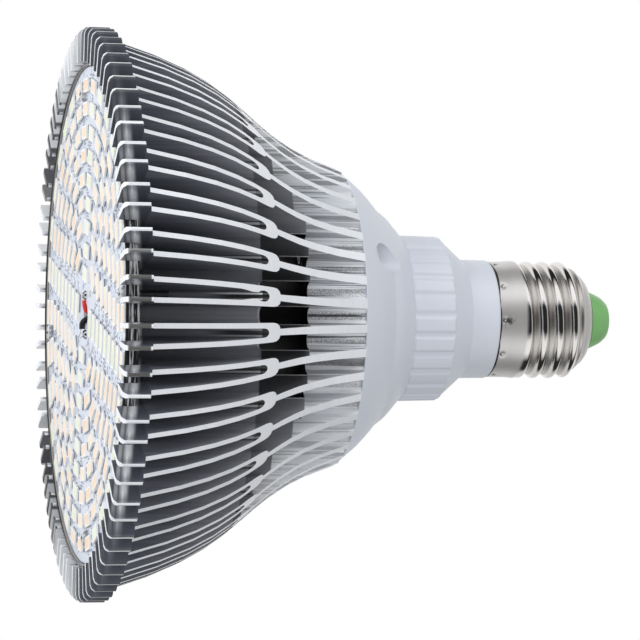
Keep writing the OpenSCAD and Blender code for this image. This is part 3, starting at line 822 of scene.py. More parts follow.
@dataclass(frozen=True)
class NickelPlate(Finish):
    """Plated cap: satin on its skirt and dome, bright on the rolled thread."""

    thread_start: float
    thread_end: float
    crest: float
    marks: int
    first_mark: float
    mark_height: float
    foot: float
    # Width of the painted shadow along the seam.
    seam: float = 0.22 * MM
    colour: Rgb = srgb(214, 212, 210)
    trough_colour: Rgb = srgb(206, 202, 198)
    # Dark of the painted shadow along the seam, and of the marks' painted shade and dark patch.
    shade_and_patch_dark: Rgb = srgb(30, 26, 24)
    # White of the painted highlight in each punch mark.
    painted_highlight_white: Rgb = srgb(255, 255, 255)

    def fill(self, paint: SurfacePaint) -> None:
        """Sets the gloss by the height on the cap, paints shade on the dome and a shadow along the
        seam, and darkens the punch marks, the deepest most, with painted shade, a dark patch and a
        painted highlight.

        Args:
            paint: The tree to fill.
        """
        thread = paint.band(paint.z, self.thread_start - 0.4 * MM, self.thread_start + 0.6 * MM,
                            self.thread_end - 0.8 * MM, self.thread_end)
        drawn = paint.noise(paint.scaled(1.0, 0.04), 1400.0, 4.0, 0.6)
        clouds = paint.noise(paint.place, 160.0, 3.0)
        trough = paint.fall(paint.radius, self.crest - 0.9 * MM, self.crest - 0.55 * MM) * thread
        # Painted shadow along the seam where the cap meets the housing, with a ragged edge.
        seam_ragged_height = paint.z - self.foot + (clouds - 0.5) * 1.1 * MM
        seam = paint.fall(seam_ragged_height, self.seam * 0.5, self.seam)
        mark_shade_and_patch, mark_painted_highlight = self._punched(paint)
        colour = paint.mix(clouds, shade(self.colour, 0.95), shade(self.colour, 1.04))
        colour = paint.mix(trough, colour, self.trough_colour)
        # Painted shade on the dome.
        on_dome = paint.step(paint.z, self.thread_end - 0.5 * MM, self.thread_end)
        colour = paint.mix(on_dome, colour, shade(self.colour, 0.88))
        colour = paint.mix(mark_shade_and_patch.at_least(seam) * 0.92, colour, self.shade_and_patch_dark)
        paint.surface({
            # Painted highlight in each punch mark.
            "Base Color": paint.mix(mark_painted_highlight, colour, self.painted_highlight_white),
            "Metallic": thread * 0.4 + 0.6 - mark_shade_and_patch * 0.3,
            "Roughness": (1 - thread) * 0.28 + trough * 0.3 + drawn * 0.08 + 0.06,
            "Normal": paint.bump(drawn, 0.008 * MM),
        })

    def _punched(self, paint: SurfacePaint) -> tuple[Signal, Signal]:
        """Darkens round the punch marks with painted shade and a dark patch, most round the
        nearest one.

        Args:
            paint: The tree to fill.

        Returns:
            The painted shade and dark patch, and painted highlights in the marks' cores, each 0 to
            1.
        """
        turn = paint.near - self.first_mark
        share = turn * self.marks
        along = (share - round(share)) * math.tau * self.crest / self.marks
        rise = paint.z - self.foot - self.mark_height
        away = paint.length(along, rise)
        ragged = away + (paint.noise(paint.place, 1300.0, 3.0) - 0.5) * 0.7 * MM
        # Painted shade on the lower side of each mark.
        small = paint.fall(ragged, 0.4 * MM, 0.65 * MM) * paint.fall(rise, -0.15 * MM, 0.1 * MM)
        # A ragged dark patch round the nearest mark.
        smear = paint.length(along, (rise - 0.35 * MM) * 0.6)
        smear = smear + (paint.noise(paint.place, 900.0, 4.0, 0.7) - 0.5) * 2.4 * MM
        large = paint.fall(smear, 0.25 * MM, 1.3 * MM) * paint.fall(abs(turn), 0.02, 0.04)
        return small.at_least(large), paint.fall(away, 0.12 * MM, 0.24 * MM)


class Plastic(Enum):
    """Plastics and coatings of the bulb, by the slot that they dress."""

    HOUSING = Moulding("housing_white", srgb(218, 223, 234), 0.42, 0.015, 3500.0, 0.012 * MM)
    PAD = Moulding("pad_silicone", srgb(205, 205, 208), 0.7)
    SLEEVE = Moulding("sleeve_black", srgb(18, 18, 19), 0.4)
    NOSE = Moulding("nose_green", srgb(128, 189, 116), 0.4, 0.04, 2600.0, 0.01 * MM)
    RED = Moulding("lead_red", srgb(214, 44, 40), 0.35)
    BLACK = Moulding("lead_black", srgb(24, 25, 30), 0.3)
    BROWN = Moulding("lead_brown", srgb(96, 52, 34), 0.4)
    BLUE = Moulding("lead_blue", srgb(60, 104, 168), 0.4)
    DRIVER_BOARD = Moulding("board_green", srgb(34, 112, 66), 0.35, 0.08, 900.0, 0.04 * MM)
    FERRITE = Moulding("ferrite", srgb(58, 58, 60), 0.55, 0.1, 1200.0, 0.04 * MM)
    TAPE = Moulding("coil_tape", srgb(232, 198, 70), 0.35, 0.08, 700.0, 0.05 * MM)
    BLUE_CAN = Moulding("can_blue", srgb(36, 52, 130), 0.3)
    GREY_CAN = Moulding("can_grey", srgb(62, 66, 72), 0.3)
    FILM = Moulding("film_yellow", srgb(222, 166, 62), 0.35)
    CHOKE = Moulding("choke_black", srgb(50, 50, 52), 0.5)
    FUSE = Moulding("fuse_green", srgb(150, 196, 150), 0.4)
    CHIP = Moulding("chip_black", srgb(30, 30, 31), 0.5)


class Metal(Enum):
    """Bare metals of the bulb, by the slot that they dress."""

    SCREW = BareMetal("screw_steel", srgb(222, 223, 226), 0.38)
    SOLDER = BareMetal("solder", srgb(206, 207, 210), 0.12, 700.0)
    CONTACT = BareMetal("contact_brass", srgb(198, 172, 110), 0.3)


def dress(frame: dict, node: str, finish: Finish) -> None:
    """Puts a finish on every slot of a solid that stays in view.

    Args:
        node: Name of the solid.
        finish: Its finish.
    """
    made = finish.material()
    for slot in frame["nodes"][node].material_slots:
        slot.material = made
    log.info("dressed %s in %s", node, finish.name)


def add_piece(name: str, mesh: bpy.types.Mesh, finish: Finish,
              replaced: Sequence[str]) -> bpy.types.Object:
    """Adds a finished mesh to the bulb.

    Args:
        name: Name of the piece.
        mesh: Its mesh, in the frame of the bulb.
        finish: Its finish; the piece's material takes its name.
        replaced: Solids that the piece stands for.

    Returns:
        The new object.
    """
    mesh.materials.append(finish.material())
    piece = bpy.data.objects.new(name, mesh)
    bpy.context.scene.collection.objects.link(piece)
    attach(piece, "root")
    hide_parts(*replaced)
    finish.name
    log.info("built %s with %d faces in place of %s", name, len(mesh.polygons), replaced)
    return piece


def close_mesh(name: str, points: np.ndarray, faces: list[tuple[int, ...]],
               sharp: float = 40.0) -> bpy.types.Mesh:
    """Turns points and faces into a clean, smooth shaded mesh.

    Args:
        name: Name of the mesh.
        points: One row of x, y and z for each point.
        faces: Point numbers of each face.
        sharp: Angle in degrees past which an edge stays sharp.

    Returns:
        The mesh, with its faces turned outwards and doubled points joined.
    """
    mesh = bpy.data.meshes.new(name)
    mesh.from_pydata(points.tolist(), [], faces)
    work = bmesh.new()
    work.from_mesh(mesh)
    bmesh.ops.remove_doubles(work, verts=work.verts, dist=0.001 * MM)
    bmesh.ops.recalc_face_normals(work, faces=work.faces)
    work.to_mesh(mesh)
    work.free()
    mesh.shade_smooth()
    mesh.set_sharp_from_angle(angle=math.radians(sharp))
    return mesh


def lathe(name: str, outline: Outline, segments: int, sharp: float = 40.0,
          reshape: Callable | None = None) -> bpy.types.Mesh:
    """Turns a closed outline round the Z axis.

    Args:
        name: Name of the mesh.
        outline: Pairs of radius and height, closed from the last point to the first.
        segments: Number of steps round the axis.
        sharp: Angle in degrees past which an edge stays sharp.
        reshape: Takes the arrays of azimuth, radius and height, and gives the new radius.

    Returns:
        The closed mesh.
    """
    line = np.array(outline)
    azimuth = np.arange(segments) * math.tau / segments
    angle, radius = np.meshgrid(azimuth, line[:, 0])
    height = np.repeat(line[:, 1:], segments, axis=1)
    if reshape is not None:
        radius = reshape(angle, radius, height)
    points = np.stack([radius * np.cos(angle), radius * np.sin(angle), height], axis=-1)
    rows = len(outline)
    faces = []
    for row in range(rows):
        after = (row + 1) % rows
        for step in range(segments):
            beside = (step + 1) % segments
            faces.append((row * segments + step, row * segments + beside,
                          after * segments + beside, after * segments + step))
    return close_mesh(name, points.reshape(-1, 3), faces, sharp)


def rounded(corners: Sequence[tuple[float, float, float]], steps: int = 5) -> Outline:
    """Rounds the corners of an open line.

    Args:
        corners: Radius, height and rounding length of each corner.
        steps: Pieces in each rounded corner.

    Returns:
        The line as pairs of radius and height.
    """
    line: Outline = []
    for index, (radius, height, soft) in enumerate(corners):
        here = Vector((radius, height))
        if soft <= 0 or index in (0, len(corners) - 1):
            line.append((radius, height))
            continue
        before = Vector(corners[index - 1][:2]) - here
        after = Vector(corners[index + 1][:2]) - here
        start = here + before.normalized() * min(soft, 0.48 * before.length)
        end = here + after.normalized() * min(soft, 0.48 * after.length)
        for step in range(steps + 1):
            share = step / steps
            point = (1 - share) ** 2 * start + 2 * share * (1 - share) * here + share ** 2 * end
            line.append((point.x, point.y))
    return line


def finer(line: Outline, low: float, high: float, spacing: float) -> Outline:
    """Adds points to a line where its height lies between two values.

    Args:
        line: Pairs of radius and height.
        low: Height from which points are added.
        high: Height up to which points are added.
        spacing: Most height between two points there.

    Returns:
        The finer line.
    """
    result: Outline = []
    for (r0, z0), (r1, z1) in zip(line, line[1:]):
        result.append((r0, z0))
        middle = (z0 + z1) / 2
        pieces = max(1, math.ceil(abs(z1 - z0) / spacing)) if low < middle < high else 1
        for piece in range(1, pieces):
            share = piece / pieces
            result.append((r0 + (r1 - r0) * share, z0 + (z1 - z0) * share))
    result.append(line[-1])
    return result


def soft_step(value: np.ndarray, low: float, high: float) -> np.ndarray:
    """A soft step over an array, 0 at low and 1 at high."""
    share = np.clip((value - low) / (high - low), 0.0, 1.0)
    return share * share * (3 - 2 * share)


def view_angle(azimuth: np.ndarray) -> np.ndarray:
    """The view angle of an azimuth, in turns."""
    return (NEAR_AZIMUTH - azimuth) / math.tau


@dataclass
class HeatSink:
    """The forked aluminium heat sink."""

    window_start: float = 33.8 * MM
    window_end: float = 44.2 * MM
    window_radius: float = 34.6 * MM
    rim_end: float = 5.8 * MM
    stems: int = 40
    prong_offset: float = 2.25 * MM

    def build(self, frame: dict) -> None:
        """Dresses the extrusion.
        """
        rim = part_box("heat_sink")[1].x
        dress(frame, "heat_sink", TurnedExtrusion(
            "turned_aluminium", self.window_start, self.window_end, self.window_radius, rim,
            self.rim_end, self.stems, self.prong_offset))


@dataclass
class Lead:
    """An insulated lead that follows a few chosen points."""

    name: str
    node: str
    finish: Finish
    points: list[tuple[float, float, float]]
    radius: float = 0.65 * MM
    sides: int = 20
    steps: int = 6

    def centre_line(self) -> list[Vector]:
        """Joins the chosen points by a smooth curve.

        Returns:
            The points of the curve, in metres.
        """
        knots = [Vector(point) * MM for point in self.points]
        knots = [knots[0], *knots, knots[-1]]
        line = []
        for a, b, c, d in zip(knots, knots[1:], knots[2:], knots[3:]):
            for step in range(self.steps):
                t = step / self.steps
                line.append(0.5 * (2 * b + (c - a) * t + (2 * a - 5 * b + 4 * c - d) * t ** 2
                                   + (3 * b - a - 3 * c + d) * t ** 3))
        line.append(knots[-1])
        return line

    def build(self) -> None:
        """Sweeps the round section along the centre line."""
        line = self.centre_line()
        rings = []
        side = Vector((0, 1, 0))
        for index, centre in enumerate(line):
            ahead = line[min(index + 1, len(line) - 1)] - line[max(index - 1, 0)]
            across = ahead.cross(side).normalized()
            other = ahead.cross(across).normalized()
            for step in range(self.sides):
                turn = step * math.tau / self.sides
                rings.append(centre + self.radius * (math.cos(turn) * across
                                                     + math.sin(turn) * other))
        count = len(line)
        faces = [(row * self.sides + step, row * self.sides + (step + 1) % self.sides,
                  (row + 1) * self.sides + (step + 1) % self.sides,
                  (row + 1) * self.sides + step)
                 for row in range(count - 1) for step in range(self.sides)]
        faces.append(tuple(reversed(range(self.sides))))
        faces.append(tuple(range((count - 1) * self.sides, count * self.sides)))
        mesh = close_mesh(self.name, np.array([list(point) for point in rings]), faces)
        add_piece(self.name, mesh, self.finish, [self.node])


@dataclass
class LightHead:
    """Tray, board, lights and the leads that come up through the middle.

    The rises of the two leads are heights in millimetres.
    """

    ring_radius: float = 50.0 * MM
    ring_step: float = 5.12 * MM
    rings: int = 9
    quarter_most: int = 8
    first_turn: float = math.radians(16.875)
    red_rise: float = 1.95
    black_rise: float = 1.3

    def build(self, frame: dict) -> None:
        """Dresses the stack and builds its leads.
        """
        dress(frame, "led_tray", DrawnSheet("tray_aluminium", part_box("led_tray")[0].z))
        dress(frame, "transfer_pad", Plastic.PAD.value)
        dress(frame, "light_board", BoardMask("board_white", self.ring_radius, self.ring_step,
                                              self.rings, self.quarter_most, self.first_turn))
        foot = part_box("led_packages")[1].z
        dress(frame, "led_packages", PackageMoulding("led_white", foot))
        dress(frame, "amber_phosphor", Phosphor("phosphor_amber", srgb(253, 232, 206),
                                                srgb(249, 212, 170)))
        dress(frame, "lime_phosphor", Phosphor("phosphor_lime", srgb(238, 244, 220),
                                               srgb(226, 236, 200)))
        dress(frame, "board_screws", Metal.SCREW.value)
        dress(frame, "board_solder", Metal.SOLDER.value)
        for side, rise, name, finish in ((-1, self.red_rise, "red_lead", Plastic.RED),
                                         (1, self.black_rise, "black_lead", Plastic.BLACK)):
            Lead(f"{name}_swept", name, finish.value, self.lead_points(side, rise)).build()

    @staticmethod
    def lead_points(side: int, rise: float) -> list[tuple[float, float, float]]:
        """Works out the route of a lead, from the driver board to its solder joint.

        Args:
            side: -1 or 1, for the side of X that it ends on.
            rise: Height at which it reaches the board, in millimetres.

        Returns:
            The points of the route, in millimetres.
        """
        return [(side * 3.5, -2.7, 15.2), (side * 2.6, -2.15, 12.2), (side * 1.0, -1.0, 8.0),
                (side * 0.75, -0.3, 4.0), (side * 0.75, 0.0, 3.0), (side * 0.9, 0.0, 2.3),
                (side * 1.8, 0.0, rise), (side * 3.15, 0.0, rise - 0.1)]


@dataclass
class Driver:
    """The parts inside the neck, which the ring window lets one see into."""

    def build(self, frame: dict) -> None:
        """Dresses each part of the driver.
        """
        finishes = {
            "driver_sleeve": Plastic.SLEEVE, "driver_board": Plastic.DRIVER_BOARD,
            "transformer_core": Plastic.FERRITE, "transformer_coil": Plastic.TAPE,
            "input_capacitor": Plastic.BLUE_CAN, "output_capacitor": Plastic.GREY_CAN,
            "film_capacitor": Plastic.FILM, "choke": Plastic.CHOKE,
            "fuse_resistor": Plastic.FUSE, "bridge_rectifier": Plastic.CHIP,
            "controller_chip": Plastic.CHIP, "live_lead": Plastic.BROWN,
            "neutral_lead": Plastic.BLUE,
        }
        for node, plastic in finishes.items():
            dress(frame, node, plastic.value)


@dataclass
class NeckHousing:
    """The white neck housing with its raised grip pads and screw pockets.

    The corners of the collar are radius, height over the foot and rounding, in millimetres, and
    those of the bore are radius and height.
    """

    rim: float = 32.6 * MM
    collar: Corners = (
        (31.9, 0.9, 0.5), (29.4, 4.0, 1.5), (26.9, 6.4, 1.4), (24.45, 8.5, 0.25),
        (22.9, 10.7, 1.4), (20.2, 13.05, 1.2), (18.6, 14.45, 0.3))
    bore: tuple[tuple[float, float], ...] = (
        (11.0, 29), (15.8, 23), (15.8, 13), (21.6, 9), (21.6, 0))
    grip: float = 18.02 * MM
    draft: float = 0.2 * MM
    pad: float = 0.45 * MM
    pads: int = 26
    first_gap: float = 2.5 / 360
    pad_gap: float = 1.1 * MM
    pad_soft: float = 0.45 * MM
    grip_start: float = 14.6 * MM
    cone_start: float = 23.9 * MM
    neck_start: float = 29.1 * MM
    neck: float = 13.2 * MM
    mouth: float = 12.5 * MM
    pockets: int = 2
    pocket: float = 3.3 * MM
    pocket_draft: float = 1.04
    pocket_floor: float = 2.5 * MM
    pocket_reach: float = 16 * MM
    pocket_ring: float = 26.4 * MM
    pocket_turn: float = math.radians(-114)
    cap_gap: float = 0.12 * MM
    sharp: float = 35.0
    segments: int = 520

    def outline(self, foot: float, top: float) -> Outline:
        """Draws the closed outline from the flange up to the cap and back down inside.

        Args:
            foot: Height of the flange's lower face.
            top: Height of the neck's upper end.

        Returns:
            Pairs of radius and height.
        """
        collar = [(radius * MM, foot + height * MM, soft * MM)
                  for radius, height, soft in self.collar]
        outer = rounded([
            (self.rim - 0.9 * MM, foot, 0), (self.rim, foot, 0.3 * MM), *collar,
            (self.grip, foot + self.grip_start, 0.1 * MM),
            (self.grip - self.draft, foot + self.cone_start, 0.25 * MM),
            (self.neck + 0.05 * MM, foot + self.neck_start, 0.2 * MM),
            (self.neck, top - 0.4 * MM, 0.2 * MM), (self.mouth + 0.45 * MM, top, 0.1 * MM),
            (self.mouth, top, 0)])
        outer = finer(outer, foot + 14 * MM, foot + self.cone_start + 1 * MM, 0.25 * MM)
        inner = [(radius * MM, foot + height * MM) for radius, height in self.bore]
        return outer + [(inner[0][0], top)] + inner

    def raise_pads(self, foot: float) -> Callable:
        """Gives the rule that raises the pads of the grip.

        Args:
            foot: Height of the flange's lower face.

        Returns:
            The rule, as lathe() takes it.
        """
        low, high = foot + self.grip_start - 0.3 * MM, foot + self.cone_start + 0.1 * MM

        def reshape(angle: np.ndarray, radius: np.ndarray, height: np.ndarray) -> np.ndarray:
            """Adds the pads to the radius of the grip.

            Args:
                angle: Azimuth of each point.
                radius: Radius of each point.
                height: Height of each point.

            Returns:
                The new radii.
            """
            turn = (view_angle(angle) - self.first_gap) * self.pads
            from_gap = np.abs(turn - np.round(turn)) * math.tau * self.grip / self.pads
            across = soft_step(from_gap, self.pad_gap / 2 - self.pad_soft / 2,
                               self.pad_gap / 2 + self.pad_soft)
            along = soft_step(height, low, low + self.pad_soft * 1.5)
            along *= 1 - soft_step(height, high - self.pad_soft, high)
            outside = radius > self.grip - 1.5 * MM
            return radius + self.pad * across * along * outside

        return reshape

    def build(self, frame: dict) -> None:
        """Turns the housing, raises its pads and sinks the screw pockets.
        """
        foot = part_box("heat_sink")[1].z
        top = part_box("cap_shell")[0].z - self.cap_gap
        mesh = lathe("housing_skin", self.outline(foot, top), self.segments, self.sharp,
                     self.raise_pads(foot))
        piece = add_piece("housing_skin", mesh, Plastic.HOUSING.value, ["neck_housing"])
        for number in range(self.pockets):
            turn = self.pocket_turn + number * math.tau / self.pockets
            cutter = self.pocket_cutter(turn, foot + self.pocket_floor)
            cut = piece.modifiers.new("pocket", "BOOLEAN")
            cut.operation = "DIFFERENCE"
            cut.solver = "EXACT"
            cut.object = cutter
            self.apply(piece)
            bpy.data.objects.remove(cutter)
        piece.data.set_sharp_from_angle(angle=math.radians(self.sharp))
        dress(frame, "housing_screws", Metal.SCREW.value)

    def pocket_cutter(self, turn: float, floor: float) -> bpy.types.Object:
        """Makes a round cutter for a screw pocket.

        Args:
            turn: Azimuth of the pocket.
            floor: Height of its floor.

        Returns:
            The cutter, which stands on that floor.
        """
        mesh = bpy.data.meshes.new("pocket_cutter")
        work = bmesh.new()
        reach = self.pocket_reach
        where = Matrix.Translation((self.pocket_ring * math.cos(turn),
                                    self.pocket_ring * math.sin(turn), floor + reach / 2))
        bmesh.ops.create_cone(work, cap_ends=True, segments=64, radius1=self.pocket,
                              radius2=self.pocket * self.pocket_draft, depth=reach,
                              matrix=where)
        work.to_mesh(mesh)
        work.free()
        cutter = bpy.data.objects.new("pocket_cutter", mesh)
        bpy.context.scene.collection.objects.link(cutter)
        return cutter

    @staticmethod
    def apply(piece: bpy.types.Object) -> None:
        """Makes the modifiers of a piece part of its mesh.

        Args:
            piece: The piece; it gets a new mesh.
        """
        bpy.context.view_layer.update()
        seen = piece.evaluated_get(bpy.context.evaluated_depsgraph_get())
        mesh = bpy.data.meshes.new_from_object(seen)
        piece.modifiers.clear()
        piece.data = mesh


@dataclass
class ScrewCap:
    """The plated screw cap with its rolled thread, punch marks and green nose.

    The thread rises from nothing between run_in and run_in_end below the first crest, and runs
    out within run_out above the last one. The crests are those on the near side.
    """

    skirt: float = 12.95 * MM
    sheet: float = 0.4 * MM
    pitch: float = 3.63 * MM
    crest: float = 13.2 * MM
    trough: float = 12.1 * MM
    near_crest: float = 99.18 * MM
    last_crest: float = 110.98 * MM
    run_in: float = 1.8 * MM
    run_in_end: float = 0.6 * MM
    run_out: float = 0.9 * MM
    bright_from: float = 6 * MM
    bright_to: float = 20.5 * MM
    hole: float = 6.2 * MM
    marks: int = 10
    first_mark: float = 1.0 / 360
    mark_rise: float = 1.1 * MM
    mark_depth: float = 0.4 * MM
    mark_width: float = 0.5 * MM
    big_mark_width: float = 0.8 * MM
    crown_sink: float = 1.5 * MM
    fine_height: float = 20.4 * MM
    outer_spacing: float = 0.13 * MM
    inner_spacing: float = 0.45 * MM
    segments: int = 280

    def outline(self, foot: float, top: float) -> Outline:
        """Draws the closed outline of the sheet, without its thread.

        Args:
            foot: Height of the skirt's open end.
            top: Height of the dome at the nose hole.

        Returns:
            Pairs of radius and height.
        """
        hole = self.hole
        outer = rounded([
            (self.skirt, foot, 0), (self.skirt, foot + 17.8 * MM, 1.0 * MM),
            (12.2 * MM, foot + 19.1 * MM, 0.6 * MM), (10.9 * MM, foot + 20.3 * MM, 0.5 * MM),
            (10.35 * MM, foot + 21.1 * MM, 0.3 * MM), (9.25 * MM, top - 1.05 * MM, 0.6 * MM),
            (7.0 * MM, top - 0.1 * MM, 0.4 * MM), (hole + 0.15 * MM, top, 0.2 * MM),
            (hole, top, 0)])
        inner = rounded([
            (hole, top - self.sheet, 0), (6.9 * MM, top - self.sheet - 0.1 * MM, 0.3 * MM),
            (8.95 * MM, top - 1.45 * MM, 0.4 * MM), (9.9 * MM, foot + 20.9 * MM, 0.3 * MM),
            (10.5 * MM, foot + 20.0 * MM, 0.3 * MM), (11.8 * MM, foot + 18.9 * MM, 0.4 * MM),
            (self.skirt - self.sheet, foot + 17.6 * MM, 0.8 * MM),
            (self.skirt - self.sheet, foot, 0)], 2)
        fine_top = foot + self.fine_height
        return (finer(outer, foot, fine_top, self.outer_spacing)
                + finer(inner, foot, fine_top, self.inner_spacing))

    def roll_thread(self, foot: float) -> Callable:
        """Gives the rule that rolls the thread and punches the marks.

        Args:
            foot: Height of the skirt's open end.

        Returns:
            The rule, as lathe() takes it.
        """
        rise = self.crest - self.skirt
        depth = self.crest - self.trough
        arc = depth / 4 + self.pitch ** 2 / (16 * depth)

        def sunk_by(share: np.ndarray) -> np.ndarray:
            """Shapes the groove of round arcs.

            Args:
                share: Way from one crest to the next, 0 to 1.

            Returns:
                Depth below the crests, 0 to 1.
            """
            from_trough = np.abs(share - 0.5) * self.pitch
            in_trough = from_trough < self.pitch / 4
            reach = np.where(in_trough, from_trough, self.pitch / 2 - from_trough)
            height = (arc - np.sqrt(arc ** 2 - reach ** 2)) / depth
            return np.where(in_trough, 1 - height, height)

        def begun(crest: np.ndarray) -> np.ndarray:
            """How far the thread has begun at a crest of this height, from 0 to 1."""
            return soft_step(crest, self.near_crest - self.run_in,
                             self.near_crest - self.run_in_end)

        def run(crest: np.ndarray) -> np.ndarray:
            """How far a crest at this height is raised, from 0 to 1."""
            ended = soft_step(crest, self.last_crest, self.last_crest + self.run_out)
            return begun(crest) * (1 - ended)

        def reshape(angle: np.ndarray, radius: np.ndarray, height: np.ndarray) -> np.ndarray:
            """Moves the sheet in and out along the helix and at the marks.

            Args:
                angle: Azimuth of each point.
                radius: Radius of each point.
                height: Height of each point.

            Returns:
                The new radii.
            """
            turn = view_angle(angle)
            turn = turn - np.round(turn)
            share = (height - self.near_crest) / self.pitch + turn
            share = share - np.floor(share)
            before = height - share * self.pitch
            after = before + self.pitch
            swing = (1 + np.cos(math.pi * share)) / 2
            raised = rise * (run(before) * swing + run(after) * (1 - swing))
            thread = raised - depth * begun(before) * sunk_by(share)
            on_wall = 1 - soft_step(height, self.last_crest + 0.2 * MM, self.last_crest + 1.6 * MM)
            result = radius + thread * on_wall
            for number in range(self.marks):
                away = turn + self.first_mark - number / self.marks
                away = away - np.round(away)
                width = self.big_mark_width if number == 0 else self.mark_width
                distance = np.hypot(away * math.tau * self.skirt,
                                    height - foot - self.mark_rise)
                result -= self.mark_depth * width / self.mark_width * np.exp(
                    -(distance / width) ** 2)
            return result

        return reshape

    def build(self, frame: dict) -> None:
        """Builds the cap and the nose, and dresses the contact.
        """
        low, high = (corner.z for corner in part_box("cap_shell"))
        dome = high - self.crown_sink
        plate = NickelPlate("cap_nickel", low + self.bright_from, low + self.bright_to,
                            self.crest, self.marks, self.first_mark, self.mark_rise, low)
        mesh = lathe("rolled_cap", self.outline(low, dome), self.segments, 50.0,
                     self.roll_thread(low))
        add_piece("rolled_cap", mesh, plate, ["cap_shell"])
        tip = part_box("cap_nose")[1].z
        add_piece("moulded_nose", lathe("moulded_nose", self.nose_outline(dome, tip), 128),
                  Plastic.NOSE.value, ["cap_nose"])
        dress(frame, "centre_contact", Metal.CONTACT.value)

    @staticmethod
    def nose_outline(dome: float, tip: float) -> Outline:
        """Draws the closed outline of the nose, with the contact's seat in its tip.

        Args:
            dome: Height of the cap's dome at its hole.
            tip: Height of the nose's tip.

        Returns:
            Pairs of radius and height.
        """
        seat, bore = 2.5 * MM, 1.2 * MM
        return rounded([
            (bore, dome - 2.6 * MM, 0), (7.1 * MM, dome - 2.6 * MM, 0),
            (7.1 * MM, dome - 1.3 * MM, 0), (6.15 * MM, dome - 1.3 * MM, 0),
            (6.15 * MM, dome + 0.03 * MM, 0), (6.85 * MM, dome + 0.03 * MM, 0.1 * MM),
            (5.3 * MM, tip - 1.6 * MM, 0.8 * MM), (3.9 * MM, tip, 0.8 * MM),
            (seat, tip, 0.05 * MM), (seat, tip - 0.5 * MM, 0), (bore, tip - 0.5 * MM, 0)], 8)


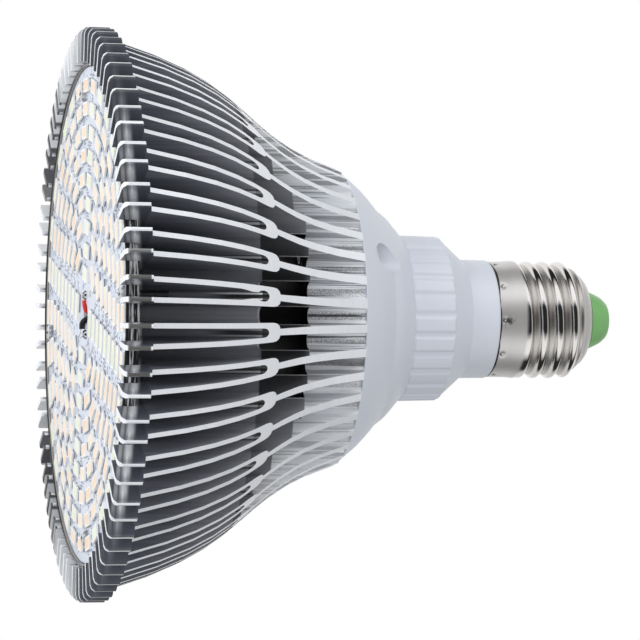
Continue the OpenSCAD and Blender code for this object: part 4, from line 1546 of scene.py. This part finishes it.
@dataclass
class Studio:
    """Floor, world, lamps and camera.

    The strips are what polished metal mirrors round the bulb: pairs of an angle and a level,
    where 0 degrees is the side of the camera and 90 degrees the top of the picture.
    """

    floor_reach: float = 6.0
    floor_glow: float = 0.4
    ambient: float = 0.45
    strip_level: float = 1.3
    calm_level: float = 0.62
    strips: tuple[tuple[int, float], ...] = (
        (-180, 0.95), (-150, 0.62), (-128, 0.58), (-114, 0.02), (-88, 0.02), (-70, 0.9),
        (-44, 0.9), (-26, 0.02), (28, 0.02), (40, 1.0), (68, 1.0), (88, 0.02), (114, 0.02),
        (126, 0.85), (180, 0.95))
    near: Vector = field(default_factory=lambda: Vector((math.cos(NEAR_AZIMUTH),
                                                         math.sin(NEAR_AZIMUTH), 0)))
    upward: Vector = field(default_factory=lambda: Vector((math.sin(NEAR_AZIMUTH),
                                                           -math.cos(NEAR_AZIMUTH), 0)))
    lens: float = 177.94
    distance: float = 689.0 * MM
    tilt: float = math.radians(13.506)
    roll: float = math.radians(0.631)
    aim_right: float = -53.0 * MM
    aim_up: float = 1.16 * MM

    def build(self) -> None:
        """Sets up everything that isn't the bulb."""
        self.lay_floor()
        self.light_world()
        self.hang_lamps()
        self.set_camera()
        bpy.context.scene.view_settings.view_transform = "Standard"

    def lay_floor(self) -> None:
        """A pale floor that is seen only from above, so that the light face stays in view."""
        reach = self.floor_reach
        mesh = bpy.data.meshes.new("floor")
        mesh.from_pydata([(-reach, -reach, 0), (reach, -reach, 0), (reach, reach, 0),
                          (-reach, reach, 0)], [], [(0, 1, 2, 3)])
        made = bpy.data.materials.new("floor")
        paint = SurfacePaint(made)
        clouds = paint.noise(paint.place, 3.0, 2.0)
        colour = paint.mix(clouds, (0.86, 0.86, 0.87), (0.9, 0.9, 0.9))
        solid = paint.node("ShaderNodeBsdfPrincipled", None, {
            "Base Color": colour, "Roughness": 0.8, "Emission Color": (1.0, 1.0, 1.0),
            "Emission Strength": self.floor_glow})
        clear = paint.node("ShaderNodeBsdfTransparent")
        below = paint.node("ShaderNodeNewGeometry", output="Backfacing")
        both = paint.node("ShaderNodeMixShader", None, {0: below, 1: solid, 2: clear})
        paint.node("ShaderNodeOutputMaterial", None, {"Surface": both})
        mesh.materials.append(made)
        floor = bpy.data.objects.new("floor", mesh)
        bpy.context.scene.collection.objects.link(floor)
        floor.visible_diffuse = False
        floor.visible_glossy = False
        floor.visible_transmission = False
        floor.visible_shadow = False
        floor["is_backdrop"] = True

    def light_world(self) -> None:
        """White all round for the eye, and strips of white and dark for what is polished."""
        world = bpy.data.worlds.new("studio")
        bpy.context.scene.world = world
        paint = Paint(world)
        direction = paint.node("ShaderNodeTexCoord", output="Generated")
        along_near = paint.vector("DOT_PRODUCT", direction, tuple(self.near), output="Value")
        along_up = paint.vector("DOT_PRODUCT", direction, tuple(self.upward), output="Value")
        turn = paint.math("ARCTAN2", along_up, along_near) / math.tau + 0.5
        card = paint.node("ShaderNodeValToRGB", {
            "stops": [(degrees / 360 + 0.5, value) for degrees, value in self.strips]},
            {"Fac": turn})
        tall = paint.step(abs(paint.split(direction)[2]), 0.7, 0.97)
        sheen = card * (1 - tall) * self.strip_level + tall * self.calm_level
        seen = paint.node("ShaderNodeLightPath", output="Is Camera Ray")
        through = paint.node("ShaderNodeLightPath", output="Is Transmission Ray")
        polished = paint.node("ShaderNodeLightPath", output="Is Glossy Ray")
        white = seen.at_least(through)
        level = white.at_least((1 - polished) * self.ambient)
        strength = level.at_least(polished * sheen)
        background = paint.node("ShaderNodeBackground", None, {
            "Color": (1.0, 1.0, 1.0), "Strength": strength})
        paint.node("ShaderNodeOutputWorld", None, {"Surface": background})

    def hang_lamps(self) -> None:
        """Four soft lamps: above in the picture, on the light face, below and in front."""
        middle = Vector((0, 0, 60 * MM))
        lamps = (
            ("key", self.upward * 0.7 + self.near * 0.5 + Vector((0, 0, 0.05)), 0.6, 2.5),
            ("face", self.near * 0.25 + self.upward * 0.2 + Vector((0, 0, -0.7)), 0.5, 3.2),
            ("fill", self.near * 0.8 - self.upward * 0.5 + Vector((0, 0, 0.1)), 0.7, 0.9),
            ("front", self.near * 1.0 + Vector((0, 0, -0.1)), 0.45, 1.35),
        )
        for name, offset, size, power in lamps:
            data = bpy.data.lights.new(name, "AREA")
            data.size = size
            data.energy = power
            lamp = bpy.data.objects.new(name, data)
            lamp.location = middle + offset
            lamp.rotation_euler = (-offset).to_track_quat("-Z", "Y").to_euler()
            lamp.visible_glossy = False
            bpy.context.scene.collection.objects.link(lamp)

    def set_camera(self) -> None:
        """Puts the camera where the photograph was taken from."""
        axis = Vector((0, 0, 1))
        forward = axis * math.sin(self.tilt) - self.near * math.cos(self.tilt)
        level_right = axis * math.cos(self.tilt) + self.near * math.sin(self.tilt)
        right = level_right * math.cos(self.roll) + self.upward * math.sin(self.roll)
        up = self.upward * math.cos(self.roll) - level_right * math.sin(self.roll)
        place = -(self.aim_right * right + self.aim_up * up + self.distance * forward)
        data = bpy.data.cameras.new("camera")
        data.lens = self.lens
        data.sensor_width = 36.0
        camera = bpy.data.objects.new("camera", data)
        camera.matrix_world = Matrix((
            (right.x, up.x, -forward.x, place.x), (right.y, up.y, -forward.y, place.y),
            (right.z, up.z, -forward.z, place.z), (0, 0, 0, 1)))
        bpy.context.scene.collection.objects.link(camera)
        bpy.context.scene.camera = camera


def main() -> None:
    """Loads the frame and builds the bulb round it."""
    logging.basicConfig(level=logging.INFO, format="%(name)s: %(message)s")
    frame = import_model()
    cad_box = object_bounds()
    for assembly in (HeatSink(), LightHead(), Driver(), NeckHousing(), ScrewCap()):
        assembly.build(frame)
    Studio().build()
    [list(corner) for corner in cad_box]
    [list(corner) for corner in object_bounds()]


if __name__ == "__main__":
    main()
